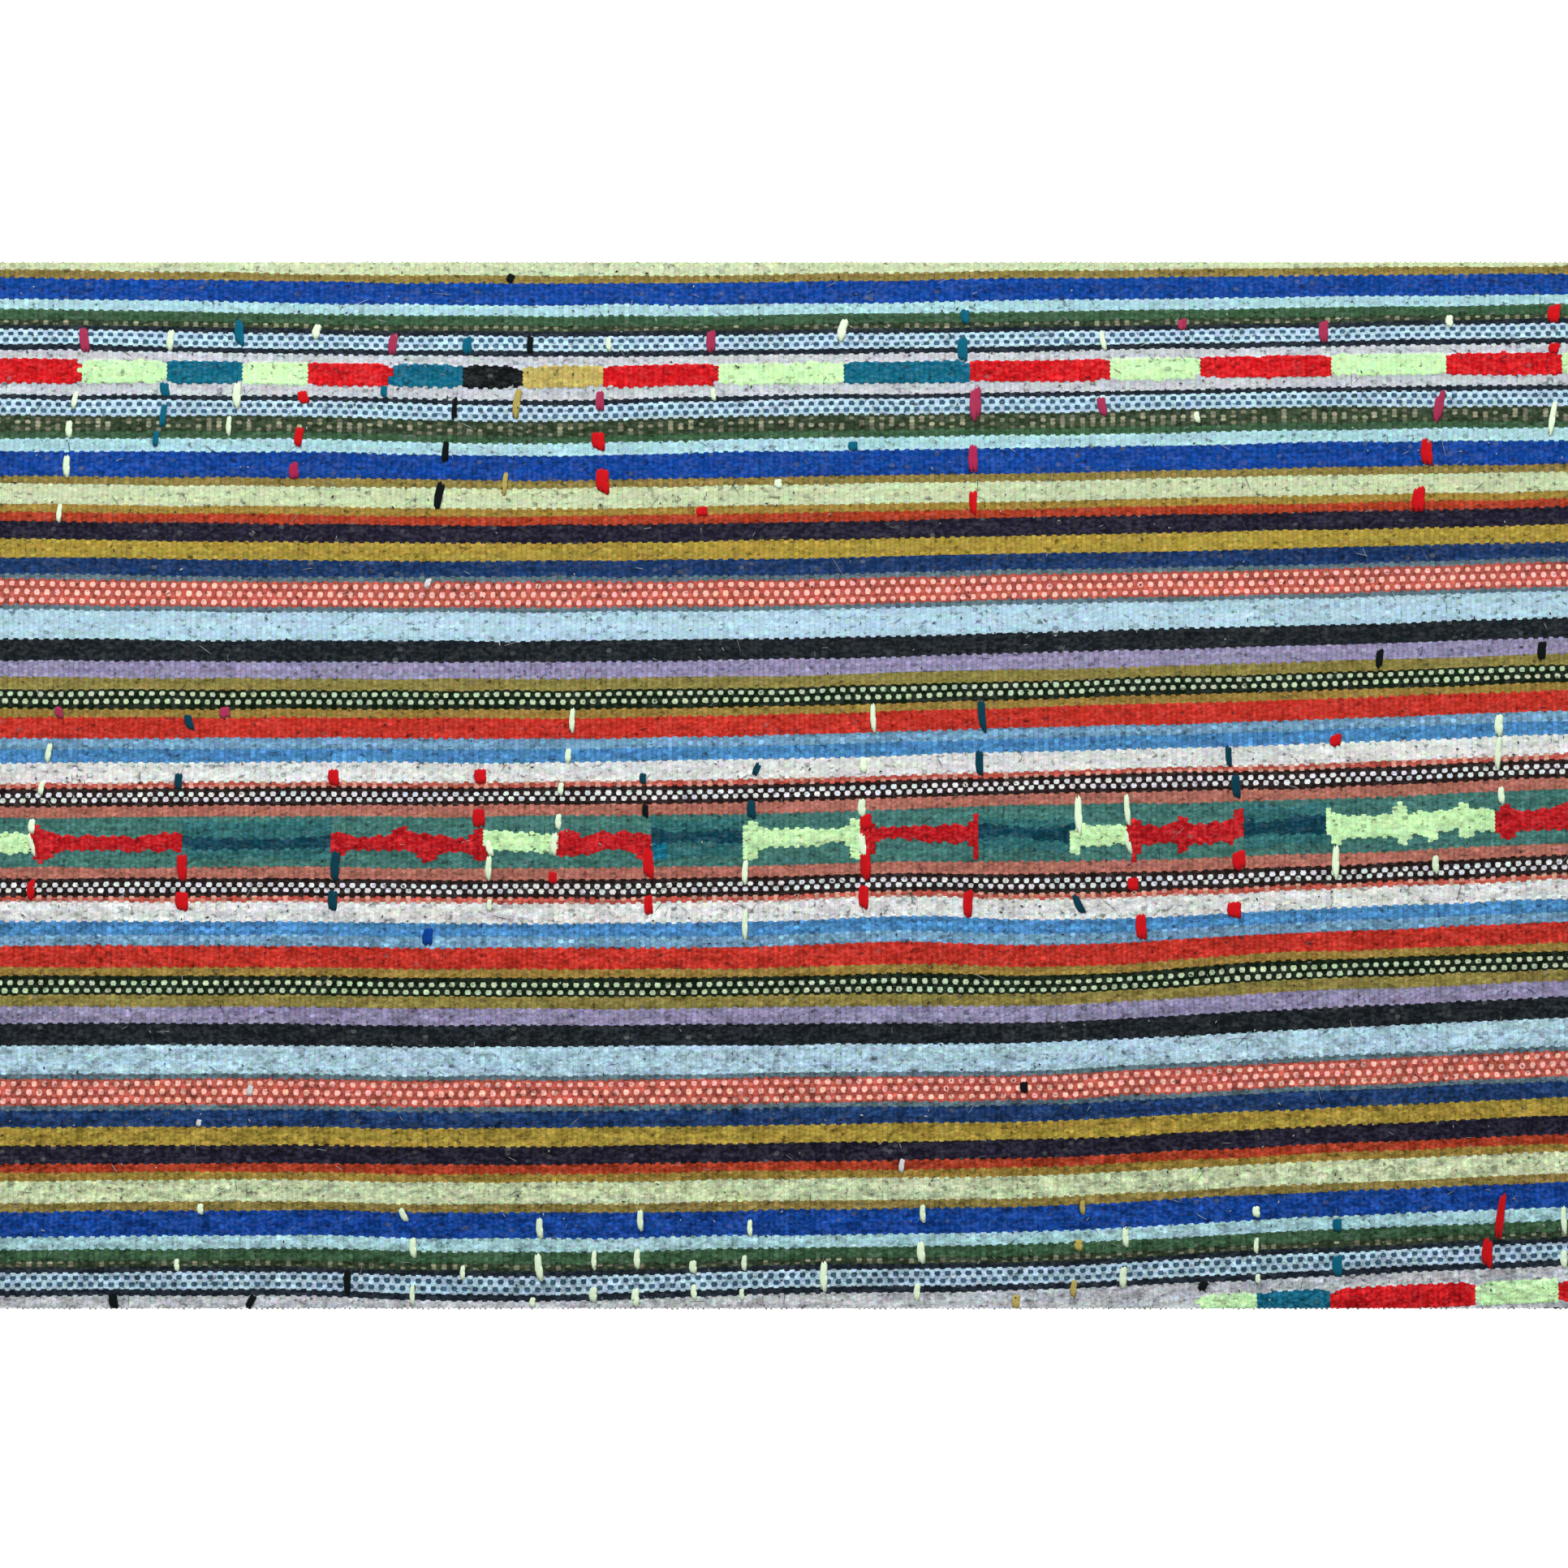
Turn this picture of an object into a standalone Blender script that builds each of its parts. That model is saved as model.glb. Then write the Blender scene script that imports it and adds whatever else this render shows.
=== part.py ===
"""A cut length of a striped, weft-faced runner rug that lies flat.

Metres, +Z up. X runs across the rug, along the wefts. Y runs along the warps, with the photograph's top
at +Y. The origin is the middle of the flat underside. One closed solid: the cloth, with its woven blocks and
the yarn lengths that lie over it raised in its face.
"""

import math
from collections import namedtuple

import bmesh
import bpy

MM = 0.001

# Size of the cut length: the cloth widens a little from the top to the bottom of the photograph
LENGTH = 467 * MM
WIDTH_AT_TOP = 736 * MM
WIDTH_AT_BOTTOM = 766 * MM

# Thickness of the ground, how far it swells and thins, and what stands above it
GROUND_THICKNESS = 2.8 * MM
SWELL = 0.22 * MM
BLOCK_RISE = 0.5 * MM
JOINT_RISE = 0.2 * MM
YARN_RISE = 0.6 * MM
YARN_WIDTH = 2.0 * MM

# The selvedge: the last warps lie lower, and their line wavers
SELVEDGE_WIDTH = 2.2 * MM
SELVEDGE_THICKNESS = 1.7 * MM
SELVEDGE_WAVER = 0.7 * MM

# Grid of the face
COLUMN_STEP = 9.5 * MM
CLOSEST_COLUMNS = 2.5 * MM
ROW_STEP = 20 * MM
EDGE_STEP = 1.3 * MM
ROWS_AT_LOWER_CUT = 4
LEAST_YARN_SIZE = 1.1 * MM
CELL_MARGIN = 0.35 * MM

# How far the wefts rise above a straight line, in mm, at stations along X for each height Y
RISE_AT_X = [-338, -222, -106, -4, 112, 228, 344]
RiseRow = namedtuple("RiseRow", "y rises")
RISE_ROWS = [
    RiseRow(231, [-2.2, -4.3, -5.8, -5.1, -2.9, -1.4, 0.0]),
    RiseRow(202, [0.0, -2.2, -3.3, -2.5, -1.1, 0.7, 2.5]),
    RiseRow(169, [0.0, -0.7, -2.9, -0.4, 0.7, 2.9, 3.6]),
    RiseRow(90, [0.0, -1.4, -1.4, -0.7, 2.2, 4.3, 7.6]),
    RiseRow(24, [0.0, 0.0, 0.0, 1.4, 4.7, 8.0, 12.3]),
    RiseRow(-21, [0.0, 1.1, 1.4, 2.5, 5.4, 8.3, 12.7]),
    RiseRow(-43, [0.0, 0.0, 0.0, 1.1, 1.8, 5.1, 9.8]),
    RiseRow(-84, [0.0, 0.0, -0.4, 0.0, 0.0, 6.2, 10.9]),
    RiseRow(-149, [0.0, 0.4, 0.0, 1.1, 2.9, 8.0, 13.0]),
    RiseRow(-193, [-0.4, 0.7, -0.7, 0.4, 2.2, 8.0, 12.7]),
    RiseRow(-229, [-1.1, -0.7, -3.3, -0.4, 1.8, 7.2, 12.3]),
]

# Bands of blocks: the line of their middle before the wefts rise, half their height, how far the
# ends of a block flare past that, the height at which the joints were measured, and the joints along X, in mm
Band = namedtuple("Band", "middle half_height flare measured_at first joints")
BANDS = [
    Band(184.8, 5.2, 0.0, 184.8, -400,
         [-314, -276, -242, -212, -176, -143, -117, -81, -30, 27, 83, 145, 185, 244, 296, 347]),
    Band(-25.4, 4.4, 3.6, -22.0, -400,
         [-337, -268, -201, -133, -101, -60, -16, 33, 87, 128, 154, 204, 242, 318]),
    Band(-237.4, 5.2, 0.0, -222.0, 179, [211, 244, 309, 347]),
]
FLARE_LENGTH = 3.0

# The longest lengths of block yarn that lie over the stripes: middle and length, in mm
YarnLength = namedtuple("YarnLength", "x y length")
YARN_LENGTHS = [
    YarnLength(-312, 198.3, 9), YarnLength(-274, 199.0, 8), YarnLength(-243, 201.5, 9),
    YarnLength(-175, 198.0, 8), YarnLength(26, 203.0, 8), YarnLength(241, 202.7, 8),
    YarnLength(-320, 142.4, 9), YarnLength(-324, 121.0, 6), YarnLength(-277, 165.4, 8),
    YarnLength(-217, 154.9, 7), YarnLength(-219, 140.8, 6), YarnLength(-147, 168.3, 8),
    YarnLength(-151, 149.6, 8), YarnLength(-154, 129.7, 10), YarnLength(-120, 170.6, 12),
    YarnLength(-125, 134.8, 9), YarnLength(-83, 153.4, 7), YarnLength(-81, 135.1, 9),
    YarnLength(84, 171.5, 13), YarnLength(84, 146.0, 9), YarnLength(84, 127.0, 9),
    YarnLength(292, 170.0, 10), YarnLength(287, 147.0, 9), YarnLength(283, 129.0, 7),
    YarnLength(343, 164.3, 12), YarnLength(-94, 29.3, 9), YarnLength(-100, -16.0, 7),
    YarnLength(-63, -4.9, 18), YarnLength(40, 29.7, 10), YarnLength(89, 31.9, 10),
    YarnLength(202, 6.5, 9), YarnLength(319, 14.6, 12), YarnLength(131, -13.5, 14),
    YarnLength(153, -11.2, 13), YarnLength(-269, -35.5, 9), YarnLength(-200, -35.3, 11),
    YarnLength(-132, -36.8, 9), YarnLength(-17, -61.9, 11), YarnLength(159, -63.2, 9),
    YarnLength(247, -33.6, 9), YarnLength(319, -191.0, 10), YarnLength(-153, -201.0, 12),
]

FABRIC_COLOUR = (0.40, 0.42, 0.38, 1.0)
FABRIC_ROUGHNESS = 0.92


def clear_scene():
    for thing in list(bpy.data.objects):
        bpy.data.objects.remove(thing, do_unlink=True)


def curve_through(stations, values, at):
    """Value at one place on a smooth curve through stations in rising order."""
    if at <= stations[0]:
        return values[0]
    if at >= stations[-1]:
        return values[-1]
    i = max(k for k in range(len(stations) - 1) if stations[k] <= at)
    span = stations[i + 1] - stations[i]
    t = (at - stations[i]) / span
    before, after = max(i - 1, 0), min(i + 2, len(values) - 1)
    slope_here = (values[i + 1] - values[before]) / (stations[i + 1] - stations[before]) * span
    slope_next = (values[after] - values[i]) / (stations[after] - stations[i]) * span
    a = 2 * t**3 - 3 * t**2 + 1
    b = t**3 - 2 * t**2 + t
    c = -2 * t**3 + 3 * t**2
    d = t**3 - t**2
    return a * values[i] + b * slope_here + c * values[i + 1] + d * slope_next


def weft_rise(x, y):
    """How far the wefts have risen at x from the straight line y, in metres."""
    rows = RISE_ROWS[::-1]
    here = [curve_through(RISE_AT_X, row.rises, x / MM) for row in rows]
    return curve_through([row.y for row in rows], here, y / MM) * MM


def half_width(y):
    t = (y + LENGTH / 2) / LENGTH
    return (WIDTH_AT_BOTTOM * (1 - t) + WIDTH_AT_TOP * t) / 2


def column_fractions():
    """The columns as fractions of the half width, from -1 to 1: one along each block joint, and more between."""
    wanted = {-1.0, 1.0}
    for side in (-1, 1):
        wanted.add(side * (1 - SELVEDGE_WIDTH / half_width(0)))
    ordered = sorted(wanted)
    for band in BANDS:
        half = half_width(band.measured_at * MM)
        for joint in band.joints:
            fraction = joint * MM / half
            if min(abs(fraction - f) for f in ordered) * half > CLOSEST_COLUMNS:
                ordered = sorted(ordered + [fraction])
    columns = []
    for left, right in zip(ordered, ordered[1:]):
        steps = max(1, math.ceil((right - left) * half_width(0) / COLUMN_STEP))
        columns += [left + (right - left) * k / steps for k in range(steps)]
    return columns + [1.0]


def row_lines():
    """The rows between the cuts, top first, as heights before the wefts rise."""
    edges = []
    for band in BANDS[:2]:
        middle, half, flare = band.middle * MM, band.half_height * MM, band.flare * MM
        offsets = {0.0, half - EDGE_STEP / 2, half + EDGE_STEP / 2}
        if flare:
            offsets |= {half + flare - EDGE_STEP / 2, half + flare + EDGE_STEP / 2}
        edges += [middle + side * offset for offset in offsets for side in (-1, 1)]
    edges = sorted(set(edges) | {LENGTH / 2 - ROW_STEP / 2, -LENGTH / 2 + ROW_STEP / 2}, reverse=True)
    rows = []
    for upper, lower in zip(edges, edges[1:]):
        steps = max(1, round((upper - lower) / ROW_STEP))
        rows += [upper + (lower - upper) * k / steps for k in range(steps)]
    return rows + [edges[-1]]


def swell(x, y):
    """Slow unevenness of the face: thick and thin places, from the yarn and the beating in."""
    return SWELL * (
        math.sin(x / (61 * MM) + 0.8) * math.sin(y / (43 * MM) + 0.3)
        + 0.6 * math.sin(x / (27 * MM) - y / (52 * MM) + 1.9)
        + 0.5 * math.sin(y / (19 * MM) + 0.4 * math.sin(x / (90 * MM)))
    )


def soft_step(distance, width):
    return min(1.0, max(0.0, distance / width + 0.5))


def block_rise(x, y):
    """Rise of the woven blocks at x, y: full inside a block, less at the joint between two."""
    line = (y - weft_rise(x, y)) / MM
    fan = half_width(y)
    for band in BANDS:
        away = abs(line - band.middle)
        along = x / fan * half_width(band.measured_at * MM) / MM
        nearest = min(abs(along - joint) for joint in band.joints)
        flared = band.flare if nearest < FLARE_LENGTH else 0.0
        inside = soft_step(band.half_height + flared - away, EDGE_STEP / MM)
        if inside > 0 and along >= band.first:
            at_joint = 1 - soft_step(nearest - CLOSEST_COLUMNS / MM, CLOSEST_COLUMNS / MM)
            dip = at_joint if not band.flare else 0.0
            return inside * (BLOCK_RISE - (BLOCK_RISE - JOINT_RISE) * dip)
    return 0.0


def face_point(fraction, y):
    """A point of the face on one warp, with the selvedges lower and a little wavy."""
    edge = abs(fraction) == 1.0
    waver = SELVEDGE_WAVER * math.sin(y / (31 * MM) + 2 * fraction) * math.cos(math.pi * y / LENGTH)
    x = fraction * (half_width(y) + waver)
    height = GROUND_THICKNESS + swell(x, y) + block_rise(x, y)
    return x, y, SELVEDGE_THICKNESS if edge else height


def face_grid():
    """Rows of face points, top cut first. The rows follow the wefts, and both cuts are straight."""
    columns = column_fractions()
    grid = [[face_point(f, LENGTH / 2) for f in columns]]
    for line in row_lines():
        row = []
        for f in columns:
            x = f * half_width(line)
            row.append(face_point(f, line + weft_rise(x, line)))
        grid.append(row)
    last = [point[1] for point in grid[-1]]
    for k in range(1, ROWS_AT_LOWER_CUT + 1):
        t = k / ROWS_AT_LOWER_CUT
        grid.append([face_point(f, y * (1 - t) - LENGTH / 2 * t) for f, y in zip(columns, last)])
    return grid


def between(a, b, t):
    return [p + (q - p) * t for p, q in zip(a, b)]


def inside_cell(corners, s, t):
    """The point at fractions s along X and t down the rows of a cell of four corners."""
    upper_left, upper_right, lower_right, lower_left = corners
    return between(between(upper_left, upper_right, s), between(lower_left, lower_right, s), t)


def yarn_in_cell(corners, yarn):
    """Where a length of yarn lies in a cell, as fractions, or None where too little of it does."""
    upper_left, upper_right, _lower_right, lower_left = corners
    wide, tall = upper_right[0] - upper_left[0], upper_left[1] - lower_left[1]
    half = yarn.length * MM / 2
    left = max(yarn.x * MM - YARN_WIDTH / 2 - upper_left[0], CELL_MARGIN)
    right = min(yarn.x * MM + YARN_WIDTH / 2 - upper_left[0], wide - CELL_MARGIN)
    top = max(upper_left[1] - yarn.y * MM - half, CELL_MARGIN)
    bottom = min(upper_left[1] - yarn.y * MM + half, tall - CELL_MARGIN)
    if right - left < LEAST_YARN_SIZE or bottom - top < LEAST_YARN_SIZE:
        return None
    return left / wide, right / wide, top / tall, bottom / tall


def add_face_cell(bm, corner_verts, yarn_lengths):
    """One cell of the face, with a length of yarn raised in it where one lies there."""
    corners = [tuple(v.co) for v in corner_verts]
    for yarn in yarn_lengths:
        place = yarn_in_cell(corners, yarn)
        if place:
            left, right, top, bottom = place
            inner = []
            for s, t in ((left, top), (right, top), (right, bottom), (left, bottom)):
                x, y, z = inside_cell(corners, s, t)
                inner.append(bm.verts.new((x, y, z + YARN_RISE)))
            for k in range(4):
                n = (k + 1) % 4
                bm.faces.new((corner_verts[n], corner_verts[k], inner[k], inner[n]))
            bm.faces.new(inner[::-1])
            return
    bm.faces.new(corner_verts[::-1])


def add_underside(bm, lower):
    """The flat underside: long strips between the cuts, and a fan of triangles along each selvedge."""
    first, last = 0, len(lower[0]) - 1
    for k in range(first + 1, last - 1):
        bm.faces.new((lower[0][k], lower[0][k + 1], lower[-1][k + 1], lower[-1][k]))
    middle = len(lower) // 2
    for edge, inner, turned in ((first, first + 1, False), (last, last - 1, True)):
        strip = []
        for r in range(len(lower) - 1):
            apex = lower[0][inner] if r < middle else lower[-1][inner]
            strip.append((lower[r][edge], apex, lower[r + 1][edge]))
        strip.append((lower[middle][edge], lower[0][inner], lower[-1][inner]))
        for corners in strip:
            bm.faces.new(corners[::-1] if turned else corners)


def add_wall(bm, upper_line, lower_line):
    """A wall below a line of face points, seen from outside with the line running to the left."""
    for k in range(len(upper_line) - 1):
        bm.faces.new((upper_line[k], upper_line[k + 1], lower_line[k + 1], lower_line[k]))


def build_cloth(name):
    bm = bmesh.new()
    grid = face_grid()
    upper = [[bm.verts.new(point) for point in row] for row in grid]
    rim = {}
    rows, columns = len(grid), len(grid[0])
    for r in range(rows):
        for c in range(columns):
            if r in (0, rows - 1) or c in (0, columns - 1):
                x, y, _z = grid[r][c]
                rim[r, c] = bm.verts.new((x, y, 0.0))
    for r in range(rows - 1):
        for c in range(columns - 1):
            corner_verts = [upper[r][c], upper[r][c + 1], upper[r + 1][c + 1], upper[r + 1][c]]
            add_face_cell(bm, corner_verts, YARN_LENGTHS)
    lower = [[rim.get((r, c)) for c in range(columns)] for r in range(rows)]
    add_underside(bm, lower)
    add_wall(bm, upper[0], lower[0])
    add_wall(bm, upper[-1][::-1], lower[-1][::-1])
    add_wall(bm, [row[0] for row in upper][::-1], [row[0] for row in lower][::-1])
    add_wall(bm, [row[-1] for row in upper], [row[-1] for row in lower])
    mesh = bpy.data.meshes.new(name)
    bm.to_mesh(mesh)
    bm.free()
    cloth = bpy.data.objects.new(name, mesh)
    bpy.context.scene.collection.objects.link(cloth)
    return cloth


def fabric_material():
    material = bpy.data.materials.new("striped_wool")
    material.use_nodes = True
    shader = material.node_tree.nodes["Principled BSDF"]
    shader.inputs["Base Color"].default_value = FABRIC_COLOUR
    shader.inputs["Roughness"].default_value = FABRIC_ROUGHNESS
    shader.inputs["Metallic"].default_value = 0.0
    return material


def main():
    clear_scene()
    cloth = build_cloth("flatweave")
    cloth.data.materials.append(fabric_material())


main()
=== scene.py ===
"""Looks of a cut length of striped, weft-faced runner rug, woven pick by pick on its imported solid."""

import math
from collections import namedtuple

import bpy
import numpy as np
from bpy.props import FloatProperty, FloatVectorProperty, IntProperty, PointerProperty
from bpy.types import Operator, Panel, PropertyGroup
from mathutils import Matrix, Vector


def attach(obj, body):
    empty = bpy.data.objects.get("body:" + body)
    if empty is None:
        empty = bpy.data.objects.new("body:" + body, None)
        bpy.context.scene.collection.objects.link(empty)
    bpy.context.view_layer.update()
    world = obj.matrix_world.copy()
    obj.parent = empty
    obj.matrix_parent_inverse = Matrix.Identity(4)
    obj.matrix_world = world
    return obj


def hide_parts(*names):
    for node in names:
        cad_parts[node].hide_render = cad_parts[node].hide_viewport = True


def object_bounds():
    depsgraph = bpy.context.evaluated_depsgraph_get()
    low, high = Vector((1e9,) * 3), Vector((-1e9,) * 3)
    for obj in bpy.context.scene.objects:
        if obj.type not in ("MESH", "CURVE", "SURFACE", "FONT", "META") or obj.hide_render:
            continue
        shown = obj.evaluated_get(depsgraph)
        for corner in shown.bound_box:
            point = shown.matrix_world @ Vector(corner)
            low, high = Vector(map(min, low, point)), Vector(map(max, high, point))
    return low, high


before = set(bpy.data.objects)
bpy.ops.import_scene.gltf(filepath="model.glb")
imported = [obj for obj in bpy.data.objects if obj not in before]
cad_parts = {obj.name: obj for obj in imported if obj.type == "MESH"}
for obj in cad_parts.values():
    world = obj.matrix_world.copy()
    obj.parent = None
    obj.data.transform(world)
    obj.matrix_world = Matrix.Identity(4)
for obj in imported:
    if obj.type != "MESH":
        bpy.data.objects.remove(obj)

bl_info = {
    "name": "Striped flat-woven rug",
    "version": (1, 0, 0),
    "blender": (4, 5, 0),
    "location": "3D View > Sidebar > Rug",
    "description": "Weaves a striped runner rug pick by pick, with its blocks, trailing yarn and cut ends",
    "category": "Add Mesh",
}

MM = 0.001
NODE = "flatweave"
BODY = "root"
SLOT = "striped_wool"

# Size of the cut length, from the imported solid: it widens a little from the top to the bottom
CAD_LOW, CAD_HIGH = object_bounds()
LENGTH = CAD_HIGH.y - CAD_LOW.y
WIDTH_AT_BOTTOM = CAD_HIGH.x - CAD_LOW.x
WIDTH_AT_TOP = WIDTH_AT_BOTTOM * 736 / 766

# Thickness of the ground, how far it swells and thins, and what stands above it
GROUND_THICKNESS = 2.8 * MM
SWELL = 0.22 * MM
BLOCK_RISE = 0.35 * MM
SELVEDGE_WIDTH = 2.2 * MM
SELVEDGE_THICKNESS = 1.7 * MM
SELVEDGE_WAVER = 0.7 * MM
SELVEDGE_LOOP = 0.35 * MM
WARP_WANDER = 0.18 * MM
WEFT_WAVER = 0.28 * MM
UNDERSIDE_RIB = 0.22 * MM
CUT_MARGIN = 0.3
BAND_COUNT = 5

# The photograph's frame: 1932 pixels are 0.7 m at the cloth, and its middle is a little above the rug's
PHOTO_SIDE = 1932
VIEW_WIDTH = 0.70
VIEW_CENTRE_Y = 0.54 * MM

# How far the wefts rise above a straight line, in mm, at stations along X for each height Y
RISE_AT_X = [-338, -222, -106, -4, 112, 228, 344]
RiseRow = namedtuple("RiseRow", "y rises")
RISE_ROWS = [
    RiseRow(231, [-2.5, -4.3, -5.3, -4.8, -2.9, -1.9, -1.0]),
    RiseRow(202, [0.0, -2.2, -3.3, -2.5, -1.1, 0.7, 2.5]),
    RiseRow(169, [0.0, -0.4, -2.6, -0.1, 1.3, 3.5, 4.2]),
    RiseRow(142, [-0.7, -1.6, -3.1, -1.2, 0.5, 2.7, 4.3]),
    RiseRow(124, [0.0, -1.2, -2.0, -0.5, 1.4, 3.7, 5.8]),
    RiseRow(90, [0.2, -1.2, -1.2, -0.5, 2.2, 4.3, 7.7]),
    RiseRow(24, [-0.5, -0.5, -0.6, 0.9, 4.2, 7.6, 11.8]),
    RiseRow(-21, [-0.8, 0.1, 0.3, 1.6, 4.8, 7.1, 12.2]),
    RiseRow(-43, [0.3, 0.3, -0.3, 0.8, 1.8, 5.4, 10.4]),
    RiseRow(-84, [0.3, 0.3, -0.5, -0.2, 0.2, 6.2, 11.4]),
    RiseRow(-149, [-0.2, 0.0, -0.6, 0.9, 2.6, 7.8, 12.9]),
    RiseRow(-193, [-0.8, 0.0, -1.3, 0.1, 1.7, 7.6, 12.3]),
    RiseRow(-229, [-1.5, -1.5, -4.0, -0.6, 1.5, 6.7, 12.0]),
]

# Places where the wefts dip or rise over a short stretch: middle, reach each way and rise, in mm
Dent = namedtuple("Dent", "x y wide tall rise")
DENTS = [Dent(54, -66, 44, 30, 2.6), Dent(-164, -150, 28, 90, -0.6), Dent(215, -85, 40, 14, 1.2)]

# The yarns: sRGB colour, how uneven the spinning is, and the share of grains with a stray fibre
Yarn = namedtuple("Yarn", "red green blue uneven strays")
YARNS = {
    "teal green": Yarn(58, 107, 100, 0.13, 0.008),
    "salmon": Yarn(159, 98, 84, 0.08, 0.006),
    "coral": Yarn(172, 76, 63, 0.12, 0.0),
    "zigzag black": Yarn(28, 14, 12, 0.10, 0.0),
    "zigzag white": Yarn(196, 200, 203, 0.04, 0.0),
    "white": Yarn(199, 202, 200, 0.06, 0.022),
    "blue": Yarn(64, 124, 174, 0.20, 0.012),
    "pale blue": Yarn(102, 143, 172, 0.22, 0.012),
    "red": Yarn(178, 41, 28, 0.09, 0.004),
    "olive": Yarn(140, 114, 51, 0.09, 0.012),
    "dotted green": Yarn(2, 22, 2, 0.10, 0.0),
    "dot pale": Yarn(170, 188, 156, 0.05, 0.0),
    "olive gold": Yarn(127, 117, 58, 0.09, 0.014),
    "lavender": Yarn(133, 128, 159, 0.11, 0.020),
    "black green": Yarn(16, 25, 31, 0.22, 0.015),
    "sky": Yarn(158, 189, 204, 0.07, 0.028),
    "teal line": Yarn(84, 105, 114, 0.14, 0.0),
    "brick": Yarn(168, 77, 64, 0.14, 0.0),
    "pink": Yarn(234, 170, 158, 0.07, 0.0),
    "navy": Yarn(13, 47, 92, 0.22, 0.03),
    "mustard": Yarn(151, 130, 49, 0.12, 0.008),
    "navy black": Yarn(22, 19, 38, 0.24, 0.018),
    "red orange": Yarn(156, 53, 25, 0.10, 0.004),
    "straw": Yarn(141, 116, 47, 0.10, 0.006),
    "pale green": Yarn(180, 193, 155, 0.06, 0.026),
    "tan": Yarn(127, 112, 56, 0.12, 0.010),
    "cobalt": Yarn(0, 58, 137, 0.16, 0.016),
    "aqua": Yarn(151, 190, 197, 0.07, 0.010),
    "dark green": Yarn(50, 83, 56, 0.16, 0.02),
    "speckle green": Yarn(40, 55, 35, 0.22, 0.0),
    "speckle tan": Yarn(112, 113, 92, 0.30, 0.0),
    "checker light": Yarn(164, 192, 208, 0.09, 0.0),
    "checker dark": Yarn(50, 82, 104, 0.14, 0.0),
    "line black": Yarn(18, 30, 42, 0.14, 0.0),
    "ground white": Yarn(176, 181, 186, 0.06, 0.030),
    "block red": Yarn(190, 11, 20, 0.09, 0.004),
    "block green": Yarn(181, 220, 163, 0.05, 0.012),
    "block teal": Yarn(0, 92, 117, 0.10, 0.010),
    "dull teal": Yarn(38, 96, 99, 0.14, 0.006),
    "deep teal": Yarn(0, 56, 72, 0.12, 0.004),
    "block black": Yarn(4, 12, 14, 0.12, 0.010),
    "block gold": Yarn(172, 156, 84, 0.09, 0.006),
    "crimson": Yarn(158, 46, 80, 0.08, 0.0),
    "cream": Yarn(217, 237, 204, 0.05, 0.0),
    "deep red": Yarn(172, 14, 22, 0.08, 0.004),
    "peach": Yarn(190, 136, 120, 0.10, 0.0),
    "turquoise": Yarn(0, 100, 124, 0.10, 0.0),
    "magenta": Yarn(161, 33, 75, 0.08, 0.0),
    "warp": Yarn(206, 198, 182, 0.06, 0.0),
}
YARN_INDEX = {yarn: k for k, yarn in enumerate(YARNS)}

# How the weave strays: runs of noise in columns, how many picks waver together, lengths of waves along the
# warps, and how far the crowns of the grains stand above the ground's face
WAVER_RUN = 22
WARP_LEAN_RUN = 9
PICKS_ALIKE = 9
SELVEDGE_WAVE = 31 * MM
WARP_WAVE = 38 * MM
CROWN_ABOVE = 0.1 * MM

# How the colour strays: the share of a thin yarn that shows, runs of noise in warps, and how strong each
# kind of unevenness is
THIN_SHARE = 0.62
THIN_RUN = 7
DRIFT_RUN = (9, 26)
TINT_RUN = (8, 20)
DRIFT_TONE = 0.55
GRAIN_TONE = 0.75
WARP_TONE = 0.02
PICK_TONE = 0.55
GRAIN_TINT = 0.035
SLOW_TINT = 0.06

# Share of each channel in how light a colour looks, from which lightness on a grain gets a dark fibre, the
# linear colours of stray fibres, how much of a grain they cover, and how far painted shade darkens the
# cut walls
LIGHTNESS = np.array([0.25, 0.6, 0.15])
PALE_GRAIN = 0.16
DARK_FIBRE = np.array([0.03, 0.035, 0.04])
FAINT_FIBRE = np.array([0.11, 0.12, 0.12])
PALE_FIBRE = np.array([0.30, 0.32, 0.30])
FIBRE_COVER = (0.1, 0.5)
PAINTED_CUT_SHADE = 0.8

# Drafts: letters name the yarn of each pick. The outer picks of a stripe are packed closer, so that its
# borders run nearly straight
PICK_HEIGHT = 0.93
TEAL_PICK_HEIGHT = 0.74
EDGE_SHARE = 0.55
TEAL_GROUND_HEIGHT = 22.8
UPPER_WHITE_MARGINS = (4.2, 5.1)
LOWER_WHITE_MARGINS = (5.5, 2.5)
TOP_SQUEEZE = 0.945
TEAL_GROUND_MIDDLE = -25.4
Pick = namedtuple("Pick", "yarn height stripe")

# Woven blocks: their edges along X, and how far they reach above and below the band's middle line, in mm
Block = namedtuple("Block", "yarn left right above below")
BlockBand = namedtuple("BlockBand", "middle measured_at blocks")
ROW_BLOCK_HALF = 5.25

# Unevenness of the blocks' edges in mm, how far and how wide their corners are rounded, and how far the
# patches of the middle band fray
EdgeNoise = namedtuple("EdgeNoise", "slow run quick")
LEVEL_EDGE = EdgeNoise(0.25, 5, 0.10)
UPRIGHT_EDGE = EdgeNoise(0.6, 6, 0.12)
CORNER_DROP = 1.5
CORNER_REACH = 1.6
PATCH_FRAY_PX = 0.5


def block_row(yarns, edges):
    """Blocks side by side, all as tall as the row."""
    names = {"r": "red", "g": "green", "t": "teal", "k": "black", "o": "gold"}
    return [
        Block("block " + names[yarn], left, right, ROW_BLOCK_HALF, ROW_BLOCK_HALF)
        for yarn, left, right in zip(yarns, edges, edges[1:])
    ]


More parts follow.
